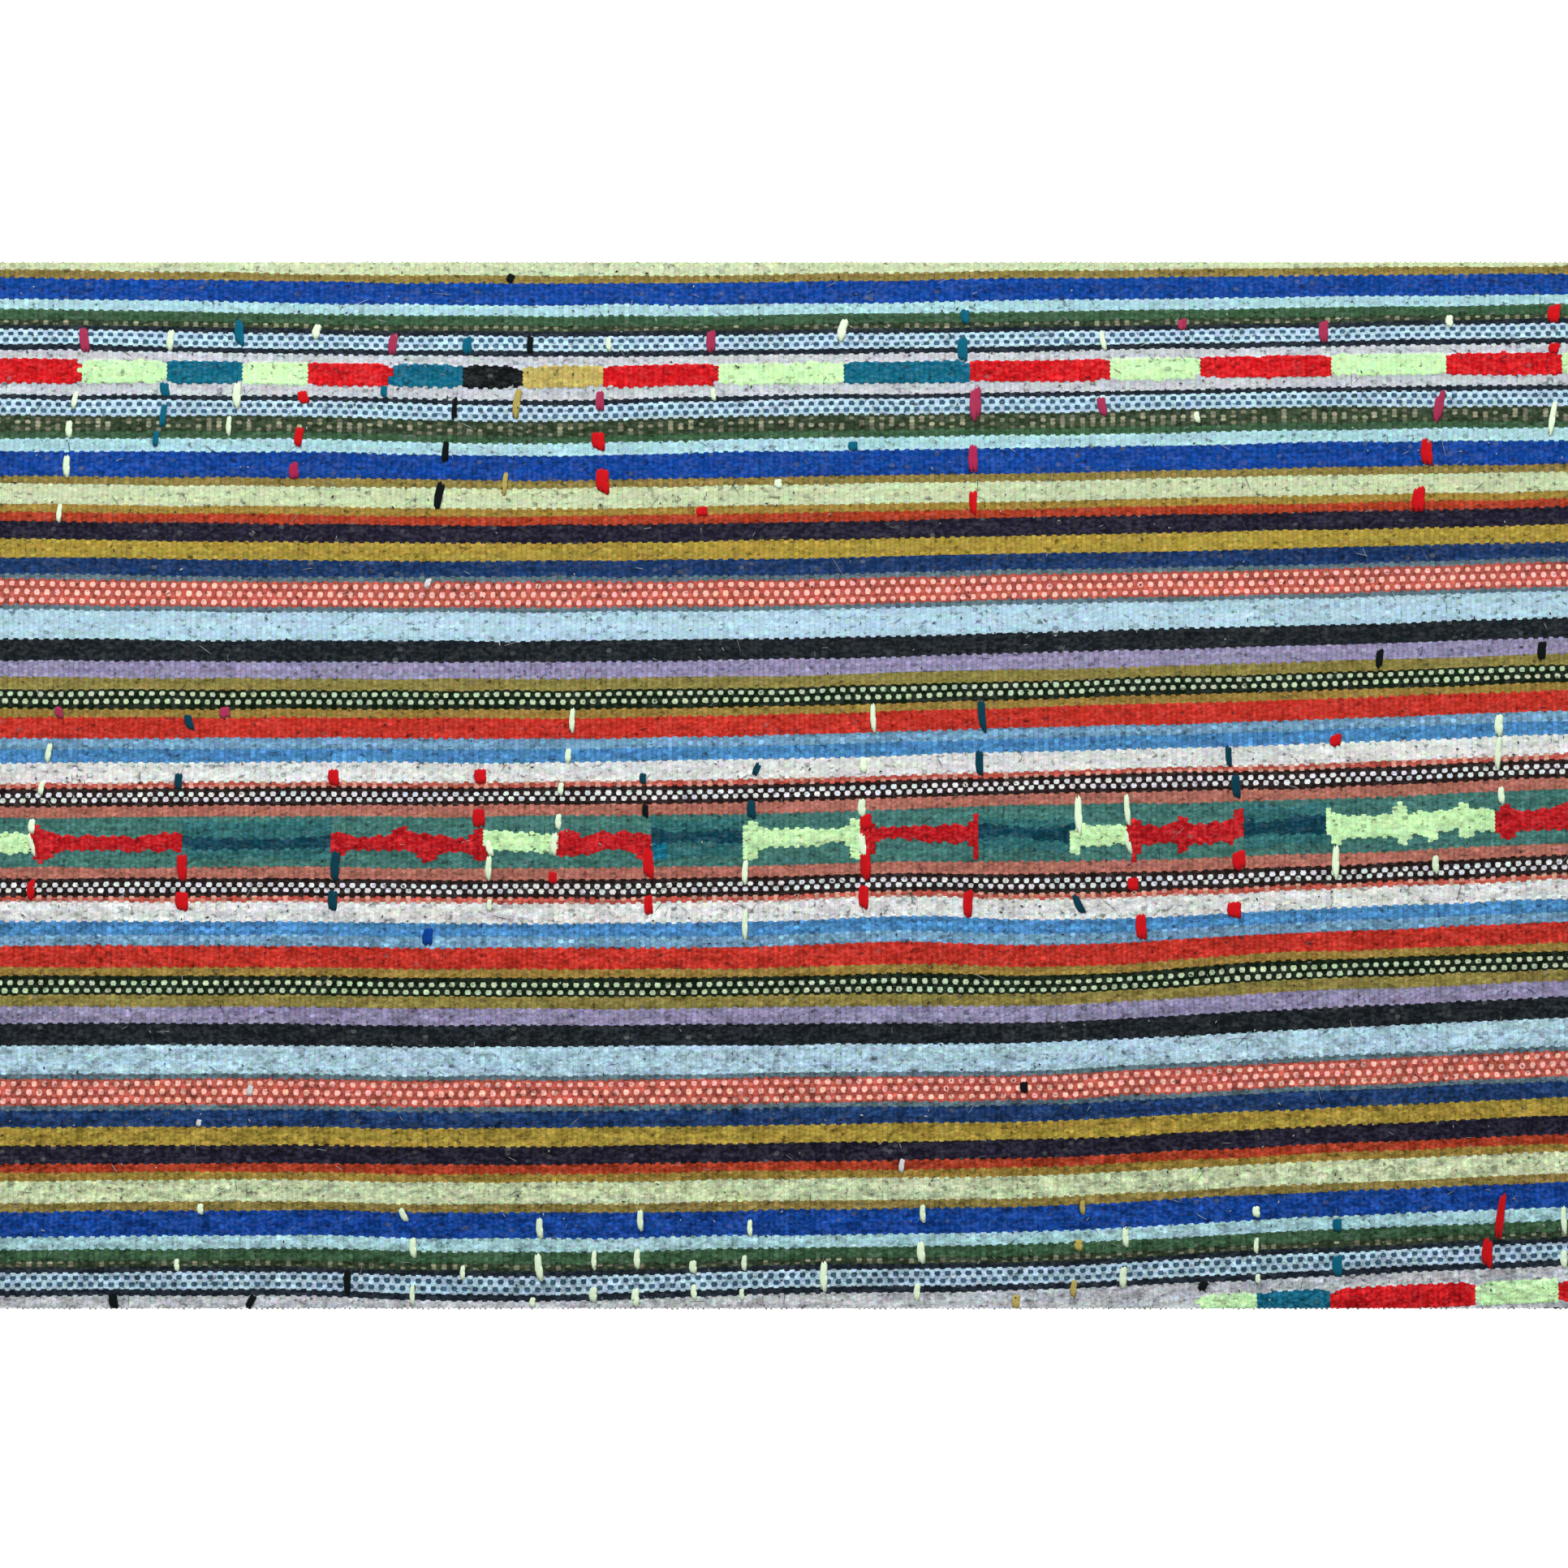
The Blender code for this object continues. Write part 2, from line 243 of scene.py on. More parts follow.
UPPER_EDGES = [-400, -314, -276, -242, -212, -176, -143, -117, -81, -30, 27, 83, 145, 185, 244, 296, 347, 400]
LOWER_EDGES = [184, 211, 244, 309, 347, 400]
BLOCK_BANDS = [
    BlockBand(184.8, 184.8, block_row("rgtgrtkorgtrgrgrg", UPPER_EDGES)),
    BlockBand(-237.4, -222.0, block_row("gtrgr", LOWER_EDGES)),
]

# Blocks of the middle band, read off: along each outline, X and the upper and lower edge there in
# the photograph's pixels
Patch = namedtuple("Patch", "yarn outline")
PATCHES = [
    Patch("dull teal", [(222, 1011, 1060), (300, 1012, 1056), (410, 1010, 1060)]),
    Patch("dull teal", [(800, 1008, 1062), (860, 1012, 1054), (918, 1006, 1056)]),
    Patch("dull teal", [(1208, 1006, 1048), (1260, 1010, 1046), (1322, 1008, 1052)]),
    Patch("dull teal", [(1532, 990, 1046), (1590, 996, 1040), (1640, 988, 1040)]),
    Patch("deep teal", [
        (222, 1028, 1040), (240, 1032, 1046), (340, 1033, 1048), (380, 1031, 1044), (410, 1030, 1046),
    ]),
    Patch("deep teal", [
        (800, 1016, 1040), (814, 1020, 1040), (822, 1026, 1039), (860, 1024, 1037), (919, 1022, 1040),
    ]),
    Patch("turquoise", [(802, 1040, 1058), (820, 1040, 1060)]),
    Patch("deep teal", [(1208, 1014, 1032), (1240, 1018, 1030), (1285, 1022, 1036), (1322, 1016, 1038)]),
    Patch("deep teal", [(1532, 1004, 1036), (1550, 1014, 1026), (1600, 1006, 1028), (1640, 1002, 1028)]),
    Patch("block green", [(-150, 1026, 1050), (30, 1026, 1052), (34, 1030, 1050), (43, 1040, 1051)]),
    Patch("deep red", [
        (34, 1020, 1034), (42, 1016, 1056), (48, 1018, 1063), (58, 1025, 1058), (72, 1028, 1050),
        (100, 1030, 1048), (165, 1031, 1049), (205, 1027, 1048), (223, 1026, 1050),
    ]),
    Patch("deep red", [
        (409, 1027, 1048), (415, 1024, 1061), (421, 1026, 1055), (432, 1031, 1048), (460, 1031, 1047),
        (483, 1028, 1048), (489, 1018, 1048), (498, 1018, 1049), (506, 1025, 1050), (512, 1026, 1052),
        (518, 1027, 1063), (530, 1028, 1063), (538, 1029, 1054), (545, 1030, 1050), (570, 1033, 1050),
        (578, 1031, 1054), (584, 1022, 1056), (591, 1018, 1062), (596, 1024, 1061), (601, 1046, 1058),
    ]),
    Patch("block green", [
        (594, 1021, 1028), (600, 1022, 1048), (630, 1024, 1048), (660, 1026, 1049), (686, 1027, 1050),
    ]),
    Patch("deep red", [
        (684, 1028, 1055), (690, 1024, 1056), (700, 1020, 1055), (708, 1024, 1054), (716, 1030, 1054),
        (728, 1030, 1051), (738, 1026, 1049), (757, 1025, 1045), (775, 1025, 1048), (790, 1026, 1058),
        (802, 1030, 1066),
    ]),
    Patch("block green", [
        (917, 1018, 1060), (922, 1013, 1060), (930, 1012, 1058), (935, 1014, 1050), (940, 1021, 1045),
        (990, 1020, 1044), (1015, 1021, 1040), (1040, 1021, 1036), (1046, 1014, 1046), (1050, 1008, 1056),
        (1056, 1007, 1058), (1060, 1012, 1058),
    ]),
    Patch("deep red", [
        (1058, 1020, 1034), (1063, 1008, 1078), (1069, 1008, 1080), (1074, 1013, 1054), (1080, 1019, 1040),
        (1092, 1020, 1034), (1110, 1018, 1034), (1150, 1018, 1038), (1172, 1015, 1039), (1190, 1017, 1038),
        (1196, 1013, 1044), (1202, 1003, 1061), (1208, 1004, 1062),
    ]),
    Patch("block green", [
        (1318, 1030, 1044), (1324, 1022, 1054), (1328, 1018, 1052), (1333, 1016, 1043), (1360, 1017, 1042),
        (1385, 1016, 1040), (1391, 1016, 1036),
    ]),
    Patch("deep red", [
        (1387, 1020, 1032), (1392, 1012, 1040), (1396, 1008, 1062), (1401, 1010, 1062), (1406, 1016, 1041),
        (1440, 1017, 1038), (1449, 1014, 1041), (1453, 1003, 1050), (1459, 1007, 1050), (1464, 1014, 1042),
        (1500, 1014, 1038), (1515, 1012, 1038), (1520, 1002, 1038), (1525, 994, 1034), (1533, 996, 1030),
    ]),
    Patch("block green", [
        (1633, 996, 1016), (1640, 997, 1034), (1646, 1002, 1043), (1652, 1006, 1041), (1658, 1006, 1034),
        (1690, 1005, 1032), (1715, 1001, 1029), (1719, 991, 1032), (1724, 988, 1038), (1730, 989, 1042),
        (1736, 1000, 1036), (1741, 1002, 1028), (1755, 1000, 1030), (1761, 1000, 1038), (1768, 999, 1037),
        (1774, 999, 1024), (1793, 996, 1022), (1797, 986, 1026), (1803, 986, 1035), (1811, 992, 1035),
        (1816, 997, 1026), (1848, 998, 1024),
    ]),
    Patch("deep red", [
        (1845, 1000, 1024), (1849, 991, 1034), (1860, 992, 1036), (1866, 996, 1030), (1872, 999, 1024),
        (1890, 998, 1022), (1915, 994, 1022), (1925, 989, 1024), (2090, 984, 1022),
    ]),
]

# Lengths of block yarn that lie over the stripes, read off: middle, upper and lower end in the
# photograph's pixels, and how far the upper end leans to the right
Trail = namedtuple("Trail", "x_px top_px bottom_px lean_px")
TRAIL_ROWS = {
    "crimson": [
        (104, 407, 434, -2), (484, 411, 434, 3), (876, 409, 434, 0), (1457, 394, 405, 0),
        (1631, 396, 420, 0), (1773, 483, 516, 5), (1202, 480, 516, 0), (1358, 492, 514, -3),
        (739, 483, 505, 0), (73, 872, 884, 0), (277, 872, 884, 0),
    ],
    "block red": [
        (1915, 376, 396, 3), (1915, 423, 434, 4), (374, 483, 496, -4), (368, 528, 550, 4),
        (737, 534, 554, 0), (743, 581, 608, 0), (865, 626, 635, 0), (1199, 604, 631, 0),
        (1758, 543, 572, 0), (1748, 600, 629, 3), (411, 949, 968, 0), (592, 949, 966, 0),
        (590, 997, 1017, 0), (1646, 905, 918, 2), (38, 1086, 1107, 0), (224, 1052, 1083, 0),
        (224, 1101, 1123, -1), (681, 1075, 1088, 0), (799, 1048, 1080, 0), (799, 1103, 1125, 0),
        (1064, 1093, 1120, 0), (1193, 1097, 1129, 0), (1396, 1082, 1096, 0), (1406, 1127, 1156, 0),
        (1527, 1050, 1070, 0), (1521, 1113, 1131, 0), (1849, 1474, 1524, 8), (1833, 1530, 1561, 1),
        (1067, 1003, 1022, 0), (1067, 1040, 1080, 0),
    ],
    "magenta": [
        (362, 569, 588, 0), (1199, 548, 580, 0),
    ],
    "cream": [
        (210, 407, 431, 2), (390, 400, 417, 5), (750, 416, 432, 0), (1038, 394, 419, 8),
        (1359, 409, 430, -4), (1786, 389, 402, 1), (92, 483, 502, 5), (85, 519, 538, 2), (82, 561, 588, 1),
        (73, 622, 642, 3), (292, 472, 502, 2), (282, 514, 535, 2), (879, 479, 493, 0), (959, 591, 601, 0),
        (1475, 508, 520, -2), (1913, 496, 534, 7), (60, 917, 938, 2), (51, 963, 979, 3),
        (39, 1010, 1026, 2), (705, 874, 901, 2), (700, 923, 939, 2), (691, 965, 979, 1),
        (688, 1003, 1022, 1), (1076, 867, 902, 1), (1064, 935, 951, 1), (1062, 985, 1006, 0),
        (1847, 880, 907, 0), (1846, 909, 947, 1), (1850, 970, 990, 0), (1329, 982, 1028, 1),
        (1389, 978, 1018, -2), (1390, 1026, 1050, -5), (39, 1028, 1054, -6), (1063, 1028, 1056, -2),
        (683, 1028, 1052, 3), (603, 1036, 1054, -4), (602, 1056, 1083, 1), (603, 1109, 1122, 0),
        (918, 1061, 1088, 1), (918, 1121, 1157, 2), (1646, 1044, 1081, 0), (1769, 1054, 1076, 0),
        (247, 1484, 1495, 0), (218, 1551, 1566, 0), (497, 1490, 1504, -6), (509, 1526, 1549, 0),
        (508, 1584, 1607, 0), (570, 1560, 1576, 0), (665, 1502, 1525, 1), (664, 1546, 1577, 0),
        (656, 1599, 1610, 1), (732, 1541, 1564, 0), (731, 1587, 1603, 0), (789, 1491, 1516, 0),
        (785, 1540, 1562, 1), (783, 1588, 1609, 0), (854, 1554, 1568, 0), (855, 1583, 1601, 0),
        (924, 1503, 1523, 0), (917, 1548, 1564, 1), (914, 1589, 1601, 0), (1015, 1554, 1591, 1),
        (1137, 1484, 1506, 0), (1135, 1531, 1555, 0), (1130, 1582, 1601, 1), (1387, 1512, 1536, 0),
        (1384, 1561, 1587, 0), (1548, 1487, 1499, 0), (1548, 1525, 1544, 0), (1550, 1570, 1581, 0),
        (1927, 1488, 1519, 0), (1927, 1541, 1562, 0),
    ],
    "block teal": [
        (295, 398, 426, 1), (576, 416, 435, 1), (1189, 383, 398, 0), (1186, 418, 444, 0),
        (203, 472, 488, -2), (201, 499, 524, 2), (192, 531, 549, 3), (473, 476, 488, 1),
        (1051, 545, 555, 0), (1648, 1503, 1517, 0), (1648, 1546, 1570, 0),
    ],
    "deep teal": [
        (233, 880, 896, -4), (220, 952, 971, 1), (792, 953, 964, 1), (932, 942, 955, 5),
        (926, 987, 1008, 0), (1210, 863, 899, -1), (1207, 927, 955, 0), (1514, 919, 943, -1),
        (1523, 956, 984, -2), (413, 1048, 1083, 1), (410, 1099, 1122, 0), (1329, 1103, 1124, -9),
    ],
    "block black": [
        (653, 414, 435, 1), (629, 338, 346, 4), (560, 492, 515, 2), (549, 543, 567, 1), (541, 595, 625, 8),
        (795, 992, 1006, 0), (1700, 800, 821, 2), (1900, 790, 811, 2), (1262, 1335, 1346, 0),
        (140, 1594, 1611, -2), (309, 1596, 1610, 7), (428, 1565, 1593, 0), (1482, 1580, 1589, 6),
    ],
    "block gold": [
        (637, 479, 515, 8), (622, 583, 609, 3), (1252, 1596, 1611, 1), (1334, 1480, 1495, 0),
        (1329, 1528, 1540, 0), (1323, 1578, 1597, 1),
    ],
    "cobalt": [
        (527, 1144, 1162, 2),
    ],
    "zigzag white": [
        (527, 714, 723, 3), (308, 1339, 1350, 3), (245, 1380, 1387, 2), (1111, 1428, 1444, 2),
    ],
}
TRAILS = {yarn: [Trail(*row) for row in rows] for yarn, rows in TRAIL_ROWS.items()}

# Yarns that lie as two lengths side by side, and how wide each pair is as a share of the usual width
PAIRED_YARNS = {
    "magenta": 1.8, "block red": 1.55, "crimson": 1.45, "block teal": 1.15, "deep teal": 1.1,
    "block black": 1.05, "cobalt": 1.5, "zigzag white": 0.7,
}

# Lengths over the stripes: the twist of the plies, how far they reach under the wefts above and below, how
# deep they sit, their turn in radians, and ranges of their width, length and tone as shares
TRAIL_PITCH = 1.1 * MM
TRAIL_OVERLAP = 0.6 * MM
TRAIL_SINK = 0.12 * MM
TRAIL_TURN = 0.04
TRAIL_WIDTHS = (0.75, 1.35)
TRAIL_LENGTHS = (0.86, 1.0)
TRAIL_TONES = (0.88, 1.04)

# Pairs: how far each length lies from the middle as a share of the width, how far it slips along the pair
# as a share of the length, and the range of its own width
PAIR_PART = 0.19
PAIR_SLIP = 0.05
PAIR_WIDTHS = (0.60, 0.75)

# Loose fibres: the twist, their height over the ground and how far they keep from the cuts
FIBRE_PITCH = 0.8 * MM
FIBRE_LIFT = 0.12 * MM
FIBRE_MARGIN = 3 * MM

# Lightness of a stripe that keeps all its fibres, the chance of one on a darker stripe, the lightness from
# which they are dark, the share that are short, thick specks, and ranges of tone, length in mm and width
KEEPING_STRIPE = 0.3
DARKER_CHANCE = 0.45
PALE_STRIPE = 0.12
SPECK_SHARE = 0.55
FIBRE_TONES = (0.6, 1.4)
SPECK_LENGTHS = (0.7, 1.5)
SPECK_WIDTHS = (1.6, 3.4)
FIBRE_WIDTHS = (0.7, 1.3)

# Cut warps: the twist of the plies, how far behind the cut their middle lies, at what share of the cloth's
# height, and ranges of length in mm, of width and of tone
WARP_PITCH = 0.9 * MM
WARP_END_SINK = 0.35 * MM
WARP_END_HEIGHT = 0.46
WARP_END_LENGTHS = (1.2, 2.4)
WARP_END_WIDTHS = (0.85, 1.1)
WARP_END_TONES = (0.8, 1.1)

# How strongly the woven wool is darkened by painted shade in the dips between warps, in those where grains
# meet and along the ribs, and how strongly its tone varies with fibres and tufts, with wear, with small dark
# specks above their threshold, and with the mottle
GAP_PAINTED_SHADE = 0.38
MEETING_PAINTED_SHADE = 0.15
RIB_PAINTED_SHADE = 0.03
FIBRE_SHADE = 0.55
TUFT_SHADE = 1.10
WEAR_SHADE = 0.40
SPECK_DARKENING = 5.6
SPECK_THRESHOLD = 0.58
MOTTLE_SHADE = 2.8
FUZZ = 0.07

# Angle between faces beyond which their shared edge is sharp
SHARP_ANGLE = math.radians(72)

# Stage, in metres; the key light is a soft panel beyond the top edge that is tilted towards the rug
FLOOR_SIDE = 9.0
FLOOR_DROP = 0.2 * MM
FLOOR_GLOW = 1.0
KEY_SIZE = (2.6, 1.0)
KEY_PLACE = (-0.2, 1.0, 1.0)
KEY_TURN = (math.radians(-45), 0, 0)
LENS = 85.0
SENSOR = 36.0


def linear(red, green, blue):
    """Scene-linear colour of sRGB values from 0 to 255."""
    levels = [level / 255 for level in (red, green, blue)]
    return tuple(c / 12.92 if c <= 0.04045 else ((c + 0.055) / 1.055) ** 2.4 for c in levels)


def property_name(yarn):
    """The name of a yarn's colour among the properties."""
    return yarn.replace(" ", "_")


def yarn_property(name):
    """The colour property of one yarn."""
    yarn = YARNS[name]
    return FloatVectorProperty(
        name=name.capitalize(), description=f"Colour of the {name} yarn", subtype="COLOR", size=3,
        min=0.0, max=1.0, default=linear(yarn.red, yarn.green, yarn.blue),
    )


def length_property(name, description, millimetres, most=10.0):
    """A property for a small length, kept in metres."""
    return FloatProperty(
        name=name, description=description, default=millimetres * MM, min=0.0, max=most * MM,
        precision=5, subtype="DISTANCE", unit="LENGTH",
    )


class YarnColours(PropertyGroup):
    """Colours of the yarns."""

    __annotations__ = {property_name(name): yarn_property(name) for name in YARNS}


class WeaveSizes(PropertyGroup):
    """Sizes of the weave and of what lies on it."""

    warps: IntProperty(name="Warps", description="Warps across the rug", default=330, min=60, max=400)
    crown: length_property("Crown", "Height of a grain of weft above the dip between two warps", 0.60)
    shoulder: length_property("Shoulder", "Height of the place where two grains meet on a warp", 0.46)
    bulge: length_property("Bulge", "How far a grain swells into the dips beside it", 0.24)
    uneven: length_property("Unevenness", "How far a grain stands higher or lower than the next", 0.09)
    wander: length_property("Wander", "How far a crossing strays sideways", 0.13)
    brightness: FloatProperty(
        name="Brightness", description="Lightness of all yarns", default=1.02, min=0.2, max=2.0
    )
    trail_width: length_property("Trail width", "Width of a length of yarn over the stripes", 2.8)
    trail_height: length_property("Trail height", "Height of a length of yarn over the stripes", 1.05)
    fibre_width: length_property("Fibre width", "Width of a loose fibre", 0.24)
    fibres: IntProperty(
        name="Loose fibres", description="Loose fibres on the face", default=2600, min=0, max=4000
    )
    warp_end: length_property("Warp end", "Diameter of a warp where it is cut", 1.15)
    seed: IntProperty(name="Seed", description="Seed of everything uneven", default=7, min=0)


class StageSettings(PropertyGroup):
    """Floor, light and camera."""

    sky: FloatProperty(name="Sky", description="Strength of the light from all round", default=0.45, min=0.0)
    key: FloatProperty(
        name="Key light", description="Power of the soft light beyond the top edge", default=35.5,
        min=0.0, unit="POWER",
    )
    floor: FloatVectorProperty(
        name="Floor", description="Colour of the floor", subtype="COLOR", size=3, min=0.0, max=1.0,
        default=(0.9, 0.9, 0.9),
    )


def plain(yarn, height, pitch=PICK_HEIGHT):
    """A stripe of one yarn, with closer picks along its borders."""
    count = max(3, round(height / pitch + 2 * (1 - EDGE_SHARE)))
    shares = np.ones(count)
    shares[[0, -1]] = EDGE_SHARE
    return [Pick(yarn, float(share), yarn) for share in height * shares / shares.sum()]


def white_ground(margins):
    """The ground of a row of blocks, with closer picks also where the blocks begin and end."""
    above, below = margins
    return (
        plain("ground white", above) + plain("ground white", 2 * ROW_BLOCK_HALF)
        + plain("ground white", below)
    )


def drafted(height, letters, shares=None, **yarns):
    """A stripe whose picks follow letters; shares says which picks are thick."""
    shares = shares or [1] * len(letters)
    return [
        Pick(yarns[letter], height * share / sum(shares), letters)
        for letter, share in zip(letters, shares)
    ]


def speckled(height, letters):
    """Green and tan picks in turn, so that tan shows on each second warp."""
    return drafted(height, letters, g="speckle green", t="speckle tan")


def checked(height):
    """Two rows of dark dots on a light stripe."""
    shares = (0.6, 1.1, 1.1, 1, 1, 1.1, 1.1, 0.6)
    return drafted(height, "llkllkll", shares, l="checker light", k="checker dark")


def outward_stripes(with_dark_line):
    """The stripes from a teal ground out to a white ground."""
    zigzag = (1.3, 3.0, 1.0, 4.8, 0.8, 0.8, 4.8, 1.0, 3.0, 1.3)
    dots = (2, 5.2, 5.2, 4.2, 6.1, 6.1, 4.2, 4.2, 2)
    pink_dots = (0.45, 0.55, 1, 1, 1, 1, 1, 1, 1, 0.55, 0.45)
    stripes = [
        plain("salmon", 5.1),
        drafted(8.0, "bbbwbbwbbb", zigzag, b="zigzag black", w="zigzag white"),
        drafted(2.7, "pcp", p="peach", c="coral"),
        plain("white", 8.7),
        plain("blue", 6.1),
        plain("pale blue", 4.8),
        plain("red", 9.4),
        plain("olive", 3.8),
        drafted(8.5, "gggpggpgg", dots, g="dotted green", p="dot pale"),
        plain("olive gold", 5.25),
        plain("lavender", 7.6),
        plain("black green", 9.6),
        plain("sky", 12.7),
        plain("teal line", 2.2),
        drafted(11.6, "rrprrprrprr", pink_dots, r="brick", p="pink"),
        plain("teal line", 2.2),
        plain("navy", 7.4),
        plain("mustard", 8.15),
        plain("navy black", 8.15),
        plain("red orange", 4.0),
        plain("straw", 3.6),
        plain("pale green", 9.6),
        plain("tan", 3.8),
        plain("cobalt", 11.05),
    ]
    if with_dark_line:
        return stripes + [
            plain("aqua", 5.6),
            plain("dark green", 5.0),
            speckled(2.8, "gtgtg"),
            plain("line black", 2.4),
            checked(7.3),
            plain("line black", 2.8),
        ]
    return stripes + [
        plain("aqua", 5.35),
        plain("dark green", 2.9),
        speckled(7.0, "gtgtgtgtgg"),
        checked(6.9),
        plain("line black", 2.3),
    ]


def all_picks():
    """Every pick, top first, and the height of each one's middle in metres."""
    down, up = outward_stripes(True), outward_stripes(False)
    from_pale_green = next(k for k, stripe in enumerate(down) if stripe[0].yarn == "pale green")
    teal = plain("teal green", TEAL_GROUND_HEIGHT, TEAL_PICK_HEIGHT)
    picks = [
        pick._replace(height=pick.height * TOP_SQUEEZE)
        for stripe in down[from_pale_green:] for pick in stripe
    ]
    picks += white_ground(UPPER_WHITE_MARGINS)
    picks += [pick for stripe in up[::-1] for pick in stripe[::-1]]
    height_above = sum(pick.height for pick in picks)
    below = down + [white_ground(LOWER_WHITE_MARGINS), plain("line black", 2.0)]
    picks += teal + [pick for stripe in below for pick in stripe]
    heights = np.array([pick.height for pick in picks])
    top = TEAL_GROUND_MIDDLE + TEAL_GROUND_HEIGHT / 2 + height_above
    middles = top - np.cumsum(heights) + heights / 2
    return picks, middles * MM


def curve_through(stations, values, at):
    """Values at some places on a smooth curve through stations in rising order.

    The values are one per station, or for each station one per place.
    """
    stations, values = np.asarray(stations, float), np.asarray(values, float)
    at = np.clip(at, stations[0], stations[-1])
    i = np.clip(np.searchsorted(stations, at, side="right") - 1, 0, len(stations) - 2)
    before, after = np.maximum(i - 1, 0), np.minimum(i + 2, len(stations) - 1)
    span = stations[i + 1] - stations[i]
    t = (at - stations[i]) / span
    columns = (np.arange(values.shape[1]),) if values.ndim > 1 else ()
    here, following = values[(i, *columns)], values[(i + 1, *columns)]
    slope_here = (following - values[(before, *columns)]) / (stations[i + 1] - stations[before]) * span
    slope_next = (values[(after, *columns)] - here) / (stations[after] - stations[i]) * span
    return (
        (2 * t**3 - 3 * t**2 + 1) * here + (t**3 - 2 * t**2 + t) * slope_here
        + (3 * t**2 - 2 * t**3) * following + (t**3 - t**2) * slope_next
    )


def weft_rise(x, y):
    """How far the wefts have risen at x from the straight line y; flat arrays in metres."""
    rows = RISE_ROWS[::-1]
    here = np.array([curve_through(RISE_AT_X, row.rises, x / MM) for row in rows])
    rise = curve_through([row.y for row in rows], here, y / MM)
    for dent in DENTS:
        away = ((x / MM - dent.x) / dent.wide) ** 2 + ((y / MM - dent.y) / dent.tall) ** 2
        rise += dent.rise * np.exp(-away)
    return rise * MM


def half_width(y):
    """Half the rug's width at a height."""
    t = (y + LENGTH / 2) / LENGTH
    return (WIDTH_AT_BOTTOM * (1 - t) + WIDTH_AT_TOP * t) / 2


def swell(x, y):
    """Slow unevenness of the face: thick and thin places, from the yarn and the beating in."""
    return SWELL * (
        np.sin(x / (61 * MM) + 0.8) * np.sin(y / (43 * MM) + 0.3)
        + 0.6 * np.sin(x / (27 * MM) - y / (52 * MM) + 1.9)
        + 0.5 * np.sin(y / (19 * MM) + 0.4 * np.sin(x / (90 * MM)))
    )


def face_height(x, y):
    """Height of the ground's face, lower towards the selvedges."""
    full = GROUND_THICKNESS + swell(x, y)
    inward = np.clip((half_width(y) - np.abs(x)) / SELVEDGE_WIDTH, 0, 1)
    return SELVEDGE_THICKNESS + (full - SELVEDGE_THICKNESS) * np.sqrt(1 - (1 - inward) ** 2)


def smooth_noise(rng, count, run):
    """Noise between about -1 and 1 that changes over a run of places."""
    knots = rng.uniform(-1, 1, int(count / run) + 3)
    return np.interp(np.arange(count) / run, np.arange(len(knots)), knots)


def from_photo(x_px, y_px):
    """Where a pixel of the photograph lies on the rug."""
    scale = VIEW_WIDTH / PHOTO_SIDE
    return (x_px - PHOTO_SIDE / 2) * scale, (PHOTO_SIDE / 2 - y_px) * scale + VIEW_CENTRE_Y


def to_photo(x, y):
    """The pixel of the photograph that shows a place on the rug."""
    scale = VIEW_WIDTH / PHOTO_SIDE
    return x / scale + PHOTO_SIDE / 2, PHOTO_SIDE / 2 - (y - VIEW_CENTRE_Y) / scale


